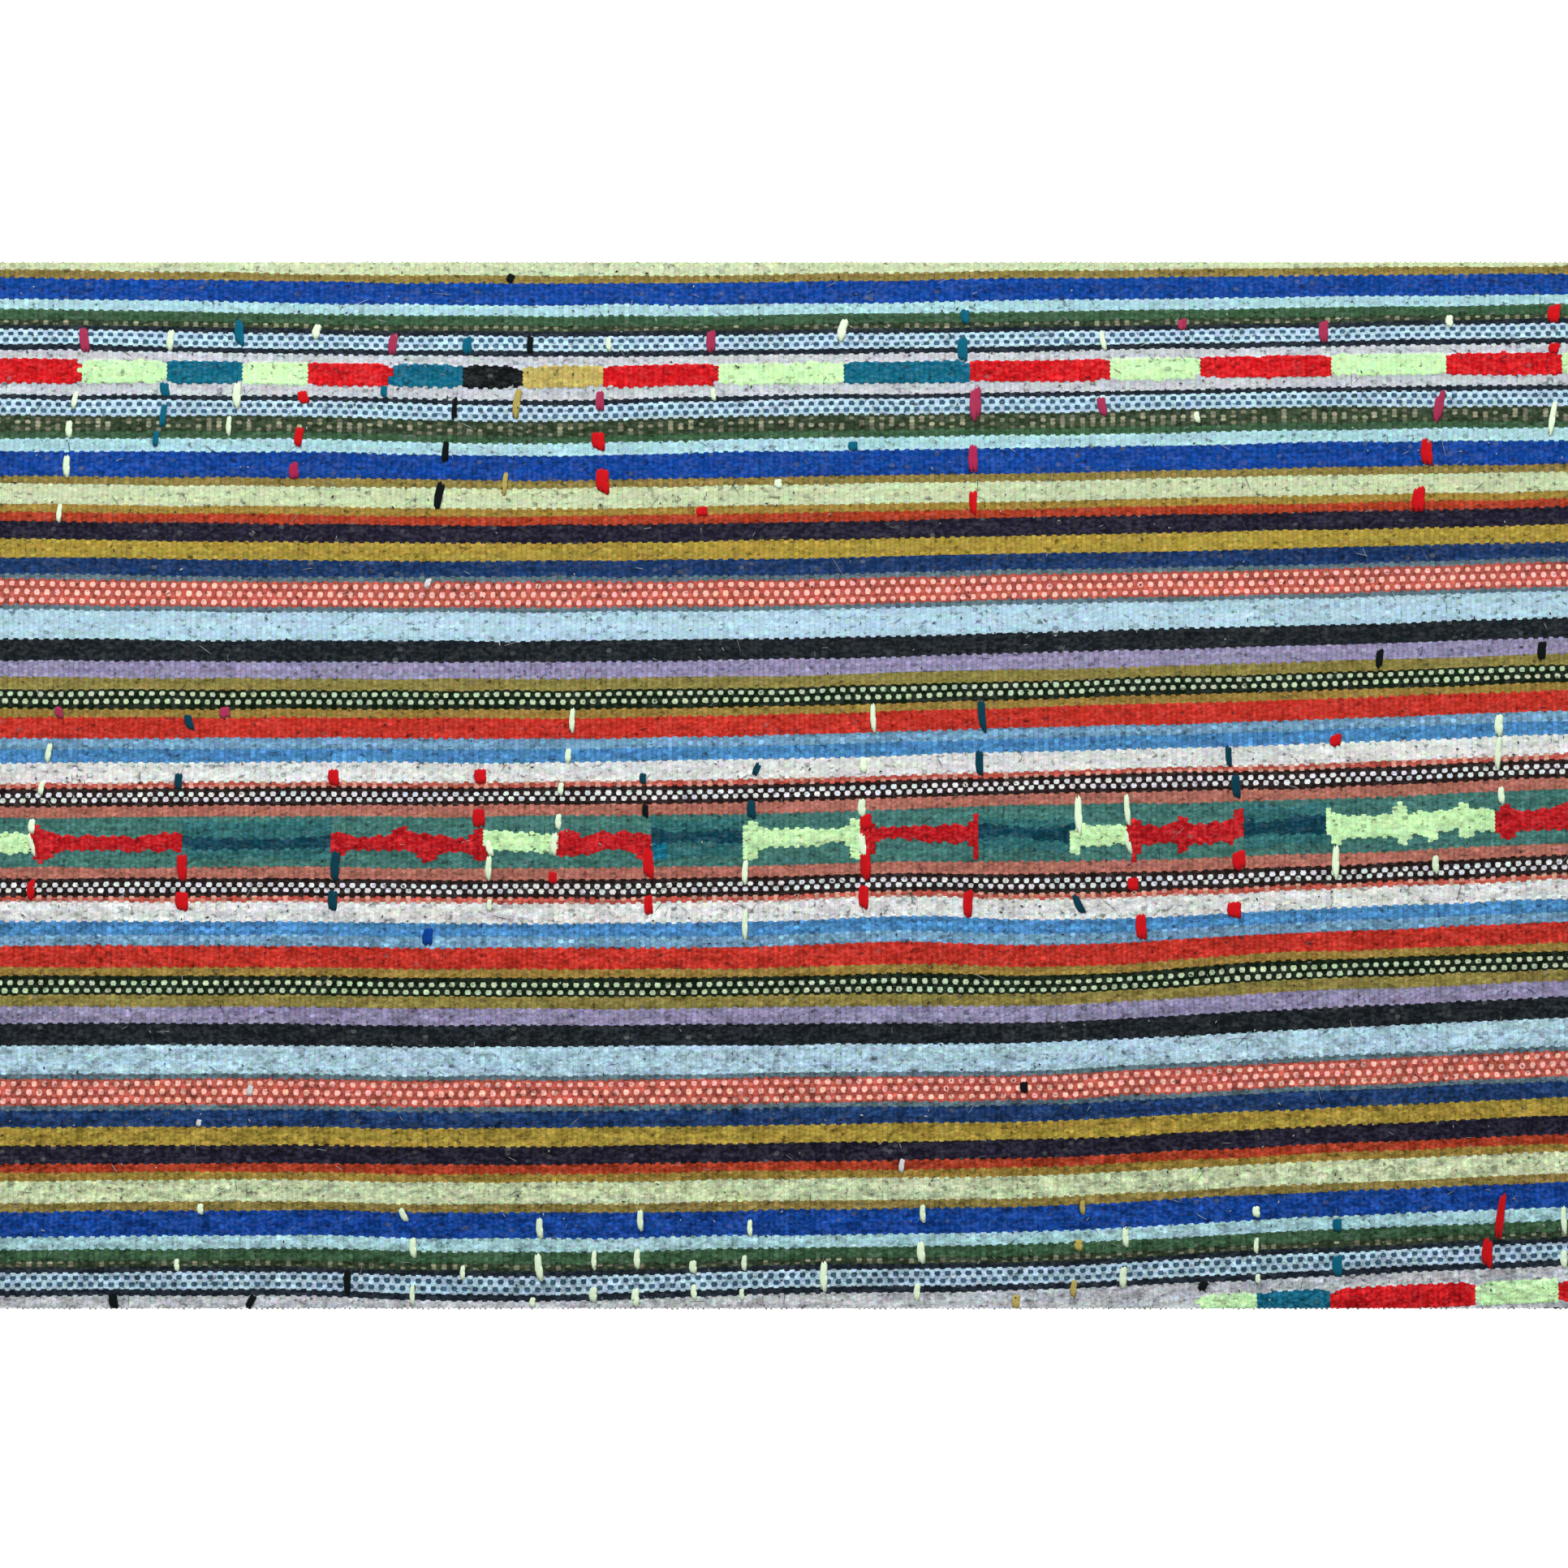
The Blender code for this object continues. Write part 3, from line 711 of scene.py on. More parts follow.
class Loom:
    """The set-up weave: its picks, warps, crossings and the colour of each grain."""

    def __init__(self, sizes, colours):
        self.picks, self.lines = all_picks()
        self.warps = sizes.warps
        self.rng = np.random.default_rng(sizes.seed)
        self.palette = np.array([getattr(colours, property_name(yarn)) for yarn in YARNS])
        self.palette = np.clip(self.palette * sizes.brightness, 0, 1)
        self.place_crossings(sizes)
        self.choose_yarns()
        self.dye_grains()

    def noise_rows(self, run):
        """A row of smooth noise over the warps for each pick."""
        return np.array([smooth_noise(self.rng, self.warps, run) for _pick in self.picks])

    def place_crossings(self, sizes):
        """Points where picks cross warps (odd columns) and run between them (even columns)."""
        columns = 2 * self.warps + 1
        fractions = np.linspace(-1, 1, columns)
        line, fraction = np.meshgrid(self.lines, fractions, indexing="ij")
        straight = fraction * half_width(line)
        y = line + weft_rise(straight.ravel(), line.ravel()).reshape(line.shape)
        own = np.array([smooth_noise(self.rng, columns, WAVER_RUN) for _pick in self.picks])
        alike = np.full(PICKS_ALIKE, 1 / PICKS_ALIKE)
        shared = np.array([np.convolve(column, alike, "same") for column in own.T]).T
        y += WEFT_WAVER * (0.5 * own + 3.0 * shared)
        waver = SELVEDGE_WAVER * np.sin(y / SELVEDGE_WAVE + 2 * fraction) * np.cos(math.pi * y / LENGTH)
        x = fraction * (half_width(y) + waver)
        lean = smooth_noise(self.rng, columns, WARP_LEAN_RUN)
        x += WARP_WANDER * np.sin(y / WARP_WAVE + 3 * lean) * (1 - fraction**8)
        sink = sizes.crown - CROWN_ABOVE
        self.fractions, self.x, self.y = fractions, x, y
        self.z = face_height(x, y) - sink * np.sqrt(np.clip(1.02 - fraction**40, 0, 1))

    def choose_yarns(self):
        """The yarn of the grain of each pick on each warp, and which grains belong to a block."""
        own = np.array([YARN_INDEX[pick.yarn] for pick in self.picks])
        self.kinds = np.repeat(own[:, None], self.warps, axis=1)
        self.raised = np.zeros(self.kinds.shape, bool)
        grain_x = (np.arange(self.warps) + 0.5) / self.warps * 2 - 1
        for band in BLOCK_BANDS:
            along = grain_x * half_width(band.measured_at * MM) / MM
            across = self.lines / MM - band.middle
            for block in band.blocks:
                self.weave_in(block.yarn, self.block_grains(block, along, across))
        x_px, y_px = to_photo(self.x[:, 1::2], self.y[:, 1::2])
        for patch in PATCHES:
            self.weave_in(patch.yarn, self.patch_grains(patch, x_px, y_px))
        self.lose_thin_yarns()

    def weave_in(self, yarn, grains):
        """Gives some grains a block's yarn."""
        self.kinds[grains] = YARN_INDEX[yarn]
        self.raised |= grains

    def edge_noise(self, count, edge):
        """Unevenness along one edge of a block, in mm."""
        return edge.slow * smooth_noise(self.rng, count, edge.run) + edge.quick * self.rng.normal(size=count)

    def block_grains(self, block, along, across):
        """Grains inside a block of a row, with uneven edges and rounded corners."""
        count, warps = self.kinds.shape
        upper = block.above + self.edge_noise(warps, LEVEL_EDGE)
        lower = block.below + self.edge_noise(warps, LEVEL_EDGE)
        left = block.left + self.edge_noise(count, UPRIGHT_EDGE)
        right = block.right + self.edge_noise(count, UPRIGHT_EDGE)
        inward = np.minimum(along - block.left, block.right - along)
        rounding = CORNER_DROP * np.exp(-np.maximum(inward, 0) / CORNER_REACH)
        inside = (across[:, None] < upper - rounding) & (across[:, None] > rounding - lower)
        return inside & (along[None, :] > left[:, None]) & (along[None, :] <= right[:, None])

    def patch_grains(self, patch, x_px, y_px):
        """Grains inside a patch of the middle band."""
        x, top, bottom = np.array(patch.outline, float).T
        fray = PATCH_FRAY_PX * self.rng.normal(size=self.warps)
        inside = (x_px > x[0]) & (x_px < x[-1])
        inside &= y_px > np.interp(x_px, x, top) + fray
        return inside & (y_px < np.interp(x_px, x, bottom) + fray)

    def lose_thin_yarns(self):
        """Where a thin yarn has sunk in, the yarn beside it shows."""
        kept = THIN_SHARE + 0.3 * self.noise_rows(THIN_RUN)
        for thin, ground in (("speckle tan", "speckle green"), ("peach", "coral")):
            lost = (self.kinds == YARN_INDEX[thin]) & (self.rng.random(self.kinds.shape) > kept)
            self.kinds[lost] = YARN_INDEX[ground]

    def dye_grains(self):
        """Colour of each grain: its yarn's, uneven along the pick, with a stray fibre here and there."""
        rng, kinds = self.rng, self.kinds
        count, warps = kinds.shape
        uneven = np.array([yarn.uneven for yarn in YARNS.values()])[kinds]
        strays = np.array([yarn.strays for yarn in YARNS.values()])[kinds]
        drift = np.array([smooth_noise(rng, warps, rng.uniform(*DRIFT_RUN)) for _pick in self.picks])
        grain = rng.normal(size=kinds.shape)
        warp_tone = rng.normal(size=warps) * WARP_TONE
        shade = np.exp(uneven * (DRIFT_TONE * drift + GRAIN_TONE * grain) + warp_tone)
        pick_tone = rng.normal(size=count)[:, None] * PICK_TONE
        shade = shade * np.exp(uneven * pick_tone)
        tint = 1 + GRAIN_TINT * rng.normal(size=(*kinds.shape, 3))
        colour = self.palette[kinds] * shade[..., None] * tint
        slow_tints = np.array([
            [smooth_noise(rng, warps, rng.uniform(*TINT_RUN)) for _channel in range(3)]
            for _pick in self.picks
        ])
        colour *= 1 + SLOW_TINT * slow_tints.transpose(0, 2, 1)
        stray = rng.random(kinds.shape) < strays
        amount = rng.uniform(*FIBRE_COVER, kinds.shape)[..., None]
        fleck = np.where((colour @ LIGHTNESS > PALE_GRAIN)[..., None], DARK_FIBRE, FAINT_FIBRE)
        colour = np.where(stray[..., None], colour * (1 - amount) + fleck * amount, colour)
        self.colour = np.clip(colour, 0, 1)

    def cut_rows(self):
        """For each column, the rows whose points are moved onto the upper and the lower cut."""
        margin = CUT_MARGIN * PICK_HEIGHT * MM
        below_top = self.y < LENGTH / 2 - margin
        above_bottom = self.y > -LENGTH / 2 + margin
        first = below_top.argmax(axis=0) - 1
        last = len(self.picks) - above_bottom[::-1].argmax(axis=0)
        return first, last

    def seams(self):
        """Rows at stripe borders, and those that part the rug into bands of about equal size."""
        first, last = self.cut_rows()
        stripes = [pick.stripe for pick in self.picks]
        borders = [r for r in range(1, len(stripes)) if stripes[r] != stripes[r - 1]]
        low, high = int(first.max()), int(last.min())
        wanted = [low + (high - low) * k / BAND_COUNT for k in range(1, BAND_COUNT)]
        return borders, [min(borders, key=lambda r: abs(r - want)) for want in wanted]


# Faces of a band by where they lie, and the strip of the bake map that each kind takes
FACE, UNDERSIDE, UPPER_CUT, LOWER_CUT, LEFT_EDGE, RIGHT_EDGE = range(6)
MapStrip = namedtuple("MapStrip", "start tall")
MAP_STRIPS = {
    FACE: MapStrip(0.005, 0.79), UNDERSIDE: MapStrip(0.80, 0.14), UPPER_CUT: MapStrip(0.945, 0.008),
    LOWER_CUT: MapStrip(0.957, 0.008), LEFT_EDGE: MapStrip(0.970, 0.008), RIGHT_EDGE: MapStrip(0.985, 0.008),
}


class BandMesh:
    """Points, faces, colours and both maps of one closed band of the rug."""

    def __init__(self, loom, top, bottom, borders):
        self.loom = loom
        self.first, self.last = loom.cut_rows()
        self.end = len(loom.fractions) - 1
        self.top = self.first if top is None else np.full(self.end + 1, top)
        self.bottom = self.last if bottom is None else np.full(self.end + 1, bottom)
        self.inner_rows = [r for r in borders if self.top.max() + 2 < r < self.bottom.min() - 2]
        self.co, self.loom_at, self.woven = [], [], []
        self.faces, self.colours, self.groups = [], [], []
        self.place_points()
        self.add_face()
        self.add_underside()
        self.add_cut_walls()
        self.add_selvedges()

    def add_point(self, place, column, row, woven):
        self.co.append(place)
        self.loom_at.append((column / 2, row, 0.0))
        self.woven.append(woven)
        return len(self.co) - 1

    def add(self, corners, colour, group):
        self.faces.append(corners)
        self.colours.append(colour)
        self.groups.append(group)

    def spot(self, row, column):
        """A point's place in plan, with the rows at the cuts moved onto them."""
        x, y = self.loom.x[row, column], self.loom.y[row, column]
        if row == self.top[column] and self.top is self.first:
            y = LENGTH / 2
        if row == self.bottom[column] and self.bottom is self.last:
            y = -LENGTH / 2
        return x, y

    def place_points(self):
        """The face's points for every pick, and the underside's at a few rows."""
        loom = self.loom
        self.above, self.below = {}, {}
        for column in range(self.end + 1):
            every_row = range(self.top[column], self.bottom[column] + 1)
            warp = min(column // 2, loom.warps - 1)
            for row in every_row:
                z = loom.z[row, column] + BLOCK_RISE * loom.raised[row, warp]
                self.above[row, column] = self.add_point((*self.spot(row, column), z), column, row, 1.0)
            rib = 0.0 if column % 2 else UNDERSIDE_RIB
            for row in every_row if column in (0, self.end) else self.floor_rows(column):
                self.below[row, column] = self.add_point((*self.spot(row, column), rib), column, row, 0.0)

    def floor_rows(self, column):
        """Rows of the underside's points in one column."""
        return [self.top[column], *self.inner_rows, self.bottom[column]]

    def grain(self, row, column):
        """Colour of the grain that the face between this row and the next shows."""
        warp = column // 2
        pick = row if (row + warp) % 2 == 0 else row + 1
        return self.loom.colour[min(pick, len(self.loom.picks) - 1), warp]

    def add_face(self):
        """The woven face: squares between rows, and triangles where columns are cut at different rows."""
        above, top, bottom = self.above, self.top, self.bottom
        for left in range(self.end):
            right = left + 1
            for row in range(max(top[left], top[right]), min(bottom[left], bottom[right])):
                corners = (above[row, left], above[row + 1, left], above[row + 1, right], above[row, right])
                self.add(corners, self.grain(row, left), FACE)
            self.add_fan(left, left, range(top[left], top[right]), top[right])
            self.add_fan(left, right, range(top[right], top[left]), top[left])
            self.add_fan(left, left, range(bottom[right], bottom[left]), bottom[right])
            self.add_fan(left, right, range(bottom[left], bottom[right]), bottom[left])

    def add_fan(self, left, side, rows, tip_row):
        """Triangles from rows of one column to a single point of the column beside it."""
        for row in rows:
            upper, lower = self.above[row, side], self.above[row + 1, side]
            if side == left:
                corners = (upper, lower, self.above[tip_row, left + 1])
            else:
                corners = (self.above[tip_row, left], lower, upper)
            self.add(corners, self.grain(row, left), FACE)

    def add_underside(self):
        """Wide faces from stripe border to stripe border, with every row's point along the selvedges."""
        below = self.below
        for column in range(self.end):
            here, beside = self.floor_rows(column), self.floor_rows(column + 1)
            for k in range(len(here) - 1):
                left = [below[here[k], column], below[here[k + 1], column]]
                right = [below[beside[k + 1], column + 1], below[beside[k], column + 1]]
                if column == 0:
                    left = [below[row, 0] for row in range(here[k], here[k + 1] + 1)]
                if column == self.end - 1:
                    right = [below[row, self.end] for row in range(beside[k + 1], beside[k] - 1, -1)]
                middle = (here[k] + here[k + 1]) // 2
                self.add(tuple((left + right)[::-1]), self.grain(middle, column), UNDERSIDE)

    def add_cut_walls(self):
        """The two walls across the rug, where it is cut or meets the next band, darkened with painted shade.
        """
        above, below = self.above, self.below
        for column in range(self.end):
            a, b = self.top[column], self.top[column + 1]
            corners = (above[a, column], above[b, column + 1], below[b, column + 1], below[a, column])
            self.add(corners, self.grain(a, column) * PAINTED_CUT_SHADE, UPPER_CUT)
            a, b = self.bottom[column], self.bottom[column + 1]
            corners = (above[a, column], below[a, column], below[b, column + 1], above[b, column + 1])
            self.add(corners, self.grain(a - 1, column) * PAINTED_CUT_SHADE, LOWER_CUT)

    def add_selvedges(self):
        """The wefts turn back round the last warp: each second pick bulges at the edge."""
        for column, inner, side, group in ((0, 0, -1, LEFT_EDGE), (self.end, self.end - 1, 1, RIGHT_EDGE)):
            rows = range(self.top[column], self.bottom[column] + 1)
            above = {row: self.above[row, column] for row in rows}
            below = {row: self.below[row, column] for row in rows}
            middle = {}
            for row in rows:
                x, y = self.spot(row, column)
                bulge = SELVEDGE_LOOP * (1.0 if row % 2 else 0.45)
                place = (x + side * bulge, y, SELVEDGE_THICKNESS * 0.5)
                middle[row] = self.add_point(place, column, row, 0.0)
            for row in rows[:-1]:
                for upper, lower in ((above, middle), (middle, below)):
                    ring = (upper[row], upper[row + 1], lower[row + 1], lower[row])
                    self.add(ring if side > 0 else ring[::-1], self.grain(row, inner), group)
            for row, cut, outward in ((rows[0], UPPER_CUT, side), (rows[-1], LOWER_CUT, -side)):
                corner = (above[row], middle[row], below[row])
                # The selvedge's end caps get the same painted shade as the cut walls
                colour = self.grain(row, inner) * PAINTED_CUT_SHADE
                self.add(corner if outward > 0 else corner[::-1], colour, cut)

    def bake_map(self, co):
        """Place of each point on the bake map for each group of faces, without overlaps."""
        low, high = co.min(0), co.max(0)
        across, along, up = ((co - low) / (high - low)).T
        wide, tall = 0.01 + 0.98 * across, 0.01 + 0.98 * along
        run = {LEFT_EDGE: tall, RIGHT_EDGE: tall}
        rise = {FACE: along, UNDERSIDE: along}
        return np.stack([
            np.column_stack((run.get(group, wide), strip.start + strip.tall * rise.get(group, up)))
            for group, strip in MAP_STRIPS.items()
        ])

    def mesh(self, name):
        """The band as a mesh that carries its yarn colours, its place on the loom and its bake map."""
        mesh = bpy.data.meshes.new(name)
        mesh.from_pydata(self.co, [], self.faces)
        sizes = np.array([len(face) for face in self.faces])
        corner = np.concatenate([np.array(face) for face in self.faces])
        group = np.repeat(np.array(self.groups), sizes)
        place = self.bake_map(np.array(self.co))[group, corner]
        mesh.uv_layers.new(name="OFBake").uv.foreach_set("vector", place.ravel())
        yarn = mesh.attributes.new("yarn", "FLOAT_COLOR", "CORNER")
        colour = np.repeat(np.array(self.colours), sizes, axis=0)
        yarn.data.foreach_set("color", np.column_stack((colour, np.ones(len(colour)))).ravel())
        at = mesh.attributes.new("loom", "FLOAT_VECTOR", "POINT")
        at.data.foreach_set("vector", np.array(self.loom_at).ravel())
        woven = mesh.attributes.new("woven", "FLOAT", "POINT")
        woven.data.foreach_set("value", np.array(self.woven))
        mesh.shade_smooth()
        mesh.validate()
        return mesh

    def tall(self):
        """Mean length of the band along its warps."""
        columns = range(self.end + 1)
        return np.mean([self.spot(self.top[c], c)[1] - self.spot(self.bottom[c], c)[1] for c in columns])


class Value:
    """A number in a node tree that takes part in Python expressions."""

    def __init__(self, net, socket):
        self.net, self.socket = net, socket

    def math(self, operation, *others, first=None):
        values = [self.socket] if first is None else [first, self.socket]
        values += [other.socket if isinstance(other, Value) else other for other in others]
        return self.net.value("ShaderNodeMath", {"operation": operation}, dict(enumerate(values)))

    def __add__(self, other):
        return self.math("ADD", other)

    __radd__ = __add__

    def __sub__(self, other):
        return self.math("SUBTRACT", other)

    def __rsub__(self, other):
        return self.math("SUBTRACT", first=other)

    def __mul__(self, other):
        return self.math("MULTIPLY", other)

    __rmul__ = __mul__

    def __mod__(self, other):
        return self.math("FLOORED_MODULO", other)

    def __pow__(self, other):
        return self.math("POWER", other)

    def __abs__(self):
        return self.math("ABSOLUTE")


class Net:
    """Adds nodes to one tree and links them."""

    def __init__(self, tree):
        self.tree = tree

    def node(self, kind, settings=None, sockets=None):
        """A node of a type, with its settings first and then the values or links of its sockets."""
        node = self.tree.nodes.new(kind)
        for key, value in (settings or {}).items():
            setattr(node, key, value)
        for key, value in (sockets or {}).items():
            if isinstance(value, Value):
                value = value.socket
            if isinstance(value, bpy.types.NodeSocket):
                self.tree.links.new(value, node.inputs[key])
            else:
                node.inputs[key].default_value = value
        return node

    def value(self, kind, settings=None, sockets=None, output=0):
        return Value(self, self.node(kind, settings, sockets).outputs[output])

    def socket(self, kind, settings=None, sockets=None, output=0):
        return self.node(kind, settings, sockets).outputs[output]


def new_material(name, roughness, sheen):
    """A cloth material, its net and its shader, with what is constant set on the shader."""
    material = bpy.data.materials.new(name)
    material.use_nodes = True
    shader = material.node_tree.nodes["Principled BSDF"]
    shader.inputs["Roughness"].default_value = roughness
    shader.inputs["Metallic"].default_value = 0.0
    shader.inputs["Specular IOR Level"].default_value = 0.1
    shader.inputs["Sheen Weight"].default_value = sheen
    shader.inputs["Sheen Roughness"].default_value = 0.5
    return material, Net(material.node_tree), shader


def yarn_colour(net):
    """The colour that each grain or length carries."""
    return net.socket("ShaderNodeAttribute", {"attribute_name": "yarn"}, output="Color")


def coordinates(net, vector):
    """X and Y of a vector."""
    parts = net.node("ShaderNodeSeparateXYZ", None, {"Vector": vector})
    return Value(net, parts.outputs["X"]), Value(net, parts.outputs["Y"])


def object_position(net):
    """Where a point lies on its object."""
    return net.socket("ShaderNodeTexCoord", output="Object")


def stretched_noise(net, stretch, detail, roughness=0.5):
    """Noise in object coordinates, as fine along each axis as its stretch says."""
    place = net.socket("ShaderNodeMapping", None, {"Vector": object_position(net), "Scale": stretch})
    return net.value("ShaderNodeTexNoise", None, {
        "Vector": place, "Scale": 1.0, "Detail": detail, "Roughness": roughness,
    })


def dress(net, shader, colour, roughness, height, relief):
    """Links the colour, the roughness and the bumps of a cloth material; relief is their height in metres."""
    bump = net.socket("ShaderNodeBump", None, {"Strength": 0.6, "Distance": relief, "Height": height})
    net.tree.links.new(colour, shader.inputs["Base Color"])
    net.tree.links.new(roughness.socket, shader.inputs["Roughness"])
    net.tree.links.new(bump, shader.inputs["Normal"])


def colour_times(net, colour, amount):
    """A colour made lighter or darker by a value."""
    return net.socket("ShaderNodeVectorMath", {"operation": "SCALE"}, {0: colour, "Scale": amount})


def woven_material():
    """Wool wefts: painted shade between warps and where grains meet, with plies and fibres along each grain.
    """
    material, net, shader = new_material(SLOT, 0.9, 0.03)
    yarn = yarn_colour(net)
    at = net.socket("ShaderNodeAttribute", {"attribute_name": "loom"}, output="Vector")
    warp, pick = coordinates(net, at)
    fibres = stretched_noise(net, (900, 3000, 900), 3.0, 0.65)
    tufts = stretched_noise(net, (420, 640, 400), 2.0)
    worn = stretched_noise(net, (36, 90, 40), 3.0)
    speck_noise = stretched_noise(net, (300, 420, 300), 2.0, 0.7)
    mottle = stretched_noise(net, (170, 280, 170), 3.0, 0.8)

    # Painted shade in the dips between warps, where grains meet and along the ribs, less deep on pale yarn
    gap = abs(warp % 1.0 - 0.5) * 2.0
    meeting = (pick + warp.math("FLOOR")).math("PINGPONG", 1.0)
    ribs = (warp * 4.0 * math.pi).math("COSINE")
    depth = 1.0 - net.value("ShaderNodeSeparateColor", None, {"Color": yarn}, output="Green") * 0.95
    shade = 1.0 - gap**3 * depth * GAP_PAINTED_SHADE
    shade = shade * (1.0 - meeting**4 * depth * MEETING_PAINTED_SHADE)
    shade = shade * (1.0 + RIB_PAINTED_SHADE - ribs * RIB_PAINTED_SHADE)
    shade = shade * (1.0 + (fibres - 0.5) * depth * FIBRE_SHADE)
    shade = shade * (1.0 + (tufts - 0.5) * depth * TUFT_SHADE)

    # Wear, small dark specks where a noise passes its threshold, and a mottle that is stronger towards the
    # lower end
    shade = shade * (1.0 + (worn - 0.5) * WEAR_SHADE)
    specks = (speck_noise - SPECK_THRESHOLD).math("MAXIMUM", 0.0).math("MINIMUM", 0.12)
    shade = shade * (1.025 - specks * SPECK_DARKENING)
    y = coordinates(net, object_position(net))[1]
    lower = (0.45 - y * 4.0).math("MAXIMUM", 0.15).math("MINIMUM", 1.0)
    shade = shade * (1.0 + (mottle - 0.5) * lower * MOTTLE_SHADE)

    # Pale fuzz over it all, then the twist of the plies
    fuzz = ((tufts - 0.42) * FUZZ + (mottle - 0.5) * FUZZ).math("MAXIMUM", 0.0)
    haze = net.socket("ShaderNodeCombineXYZ", None, {"X": fuzz, "Y": fuzz, "Z": fuzz})
    colour = net.socket(
        "ShaderNodeVectorMath", {"operation": "ADD"}, {0: colour_times(net, yarn, shade), 1: haze}
    )
    plies = (warp * 4.0 * math.pi + pick * math.pi * 1.5 + fibres * 2.0).math("SINE")
    height = plies * 0.35 + fibres * 1.2 + tufts * 0.8
    dress(net, shader, colour, 0.82 + fibres * 0.16, height, 0.14 * MM)
    return material


def loose_yarn_material(name, pitch):
    """Yarn that lies free: twisted plies and fibres, in the colour that each length carries."""
    material, net, shader = new_material(name, 0.88, 0.05)
    x, y = coordinates(net, object_position(net))
    fibres = stretched_noise(net, (2600, 800, 1500), 3.0, 0.6)
    plies = ((x * 0.8 + y) * (2 * math.pi / pitch) + fibres * 2.5).math("SINE")
    # The twist of the plies makes light and dark stripes in the colour: painted shade in the grooves between
    # plies
    colour = colour_times(net, yarn_colour(net), 0.80 + plies * 0.07 + fibres * 0.34)
    height = plies * 0.6 + fibres * 0.9
    dress(net, shader, colour, 0.80 + fibres * 0.16, height, 0.15 * MM)
    return material


def new_geometry_tree(name, sizes):
    """A Geometry Nodes tree with a geometry in and out, named sizes and a material."""
    tree = bpy.data.node_groups.new(name, "GeometryNodeTree")
    face = tree.interface
    face.new_socket("Geometry", in_out="INPUT", socket_type="NodeSocketGeometry")
    for label in sizes:
        kind = "NodeSocketInt" if label in ("Sides", "Rings", "Seed") else "NodeSocketFloat"
        face.new_socket(label, in_out="INPUT", socket_type=kind)
    face.new_socket("Material", in_out="INPUT", socket_type="NodeSocketMaterial")
    face.new_socket("Geometry", in_out="OUTPUT", socket_type="NodeSocketGeometry")
    net = Net(tree)
    entry = net.node("NodeGroupInput")
    return tree, net, entry


def finish_geometry_tree(net, entry, geometry):
    """The tree's end: instances made real, and the material set."""
    real = net.socket("GeometryNodeRealizeInstances", None, {"Geometry": geometry})
    dressed = net.socket(
        "GeometryNodeSetMaterial", None, {"Geometry": real, "Material": entry.outputs["Material"]}
    )
    net.node("NodeGroupOutput", None, {"Geometry": dressed})


def named(net, name, kind="FLOAT"):
    """A named attribute of the geometry."""
    return net.socket("GeometryNodeInputNamedAttribute", {"data_type": kind}, {"Name": name})


def relief_tree():
    """Raises each grain of weft over its warp and lets crossings stray a little."""
    sizes = ["Crown", "Shoulder", "Bulge", "Unevenness", "Wander", "Seed"]
    tree, net, entry = new_geometry_tree("Weave relief", sizes)
    crown, shoulder, bulge, uneven, wander, seed = [
        Value(net, entry.outputs[size]) for size in sizes
    ]
    warp, pick = coordinates(net, named(net, "loom", "FLOAT_VECTOR"))
    woven = Value(net, named(net, "woven"))
    on_warp = (warp % 1.0) * 2.0
    over = 1.0 - (pick + warp.math("FLOOR")) % 2.0
    number = pick * 2048.0 + warp * 2.0

    def stray(offset):
        """A random number from -1 to 1 for each crossing."""
        return net.value("FunctionNodeRandomValue", {"data_type": "FLOAT"}, {
            "Min": -1.0, "Max": 1.0, "ID": number, "Seed": seed + offset,
        }, output=1)

    height = on_warp * (shoulder + over * (crown - shoulder))
    height = (height + stray(0) * uneven) * woven
    strayed = wander * woven
    towards = 1.0 - (pick + warp + 1.0) % 2.0 * 2.0
    swollen = (1.0 - on_warp) * towards * bulge * woven
    offset = net.socket("ShaderNodeCombineXYZ", None, {
        "X": swollen + stray(1) * strayed, "Y": stray(2) * strayed, "Z": height,
    })
    moved = net.socket(
        "GeometryNodeSetPosition", None, {"Geometry": entry.outputs["Geometry"], "Offset": offset}
    )
    finish_geometry_tree(net, entry, moved)
    return tree


def yarn_length_tree():
    """A short length of yarn on every point: arched, thick in the middle and tucked in at its ends."""
    tree, net, entry = new_geometry_tree("Yarn lengths", ["Sides", "Rings", "Arch", "Tuck"])
    line = net.socket("GeometryNodeCurvePrimitiveLine", {"mode": "POINTS"}, {
        "Start": (0.0, -0.5, 0.0), "End": (0.0, 0.5, 0.0),
    })
    line = net.socket("GeometryNodeResampleCurve", None, {"Curve": line, "Count": entry.outputs["Rings"]})
    along = net.value("GeometryNodeSplineParameter", output="Factor")
    out = abs(along * 2.0 - 1.0)
    arch, tuck = Value(net, entry.outputs["Arch"]), Value(net, entry.outputs["Tuck"])
    bow = (along * 9.0).math("SINE") * 0.12
    rise = net.socket("ShaderNodeCombineXYZ", None, {"X": bow, "Y": 0.0, "Z": arch * (1.0 - out**3)})
    line = net.socket("GeometryNodeSetPosition", None, {"Geometry": line, "Offset": rise})
    radius = 0.5 * (1.0 - tuck * out**4)
    profile = net.socket("GeometryNodeCurvePrimitiveCircle", {"mode": "RADIUS"}, {
        "Resolution": entry.outputs["Sides"], "Radius": 1.0,
    })
    tube = net.socket("GeometryNodeCurveToMesh", None, {
        "Curve": line, "Profile Curve": profile, "Scale": radius, "Fill Caps": True,
    })
    points = net.socket("GeometryNodeMeshToPoints", None, {"Mesh": entry.outputs["Geometry"]})
    turn = net.socket("ShaderNodeCombineXYZ", None, {"Z": named(net, "turn")})
    copies = net.socket("GeometryNodeInstanceOnPoints", None, {
        "Points": points, "Instance": tube,
        "Rotation": net.socket("FunctionNodeEulerToRotation", None, {"Euler": turn}),
        "Scale": named(net, "size", "FLOAT_VECTOR"),
    })
    finish_geometry_tree(net, entry, copies)
    return tree


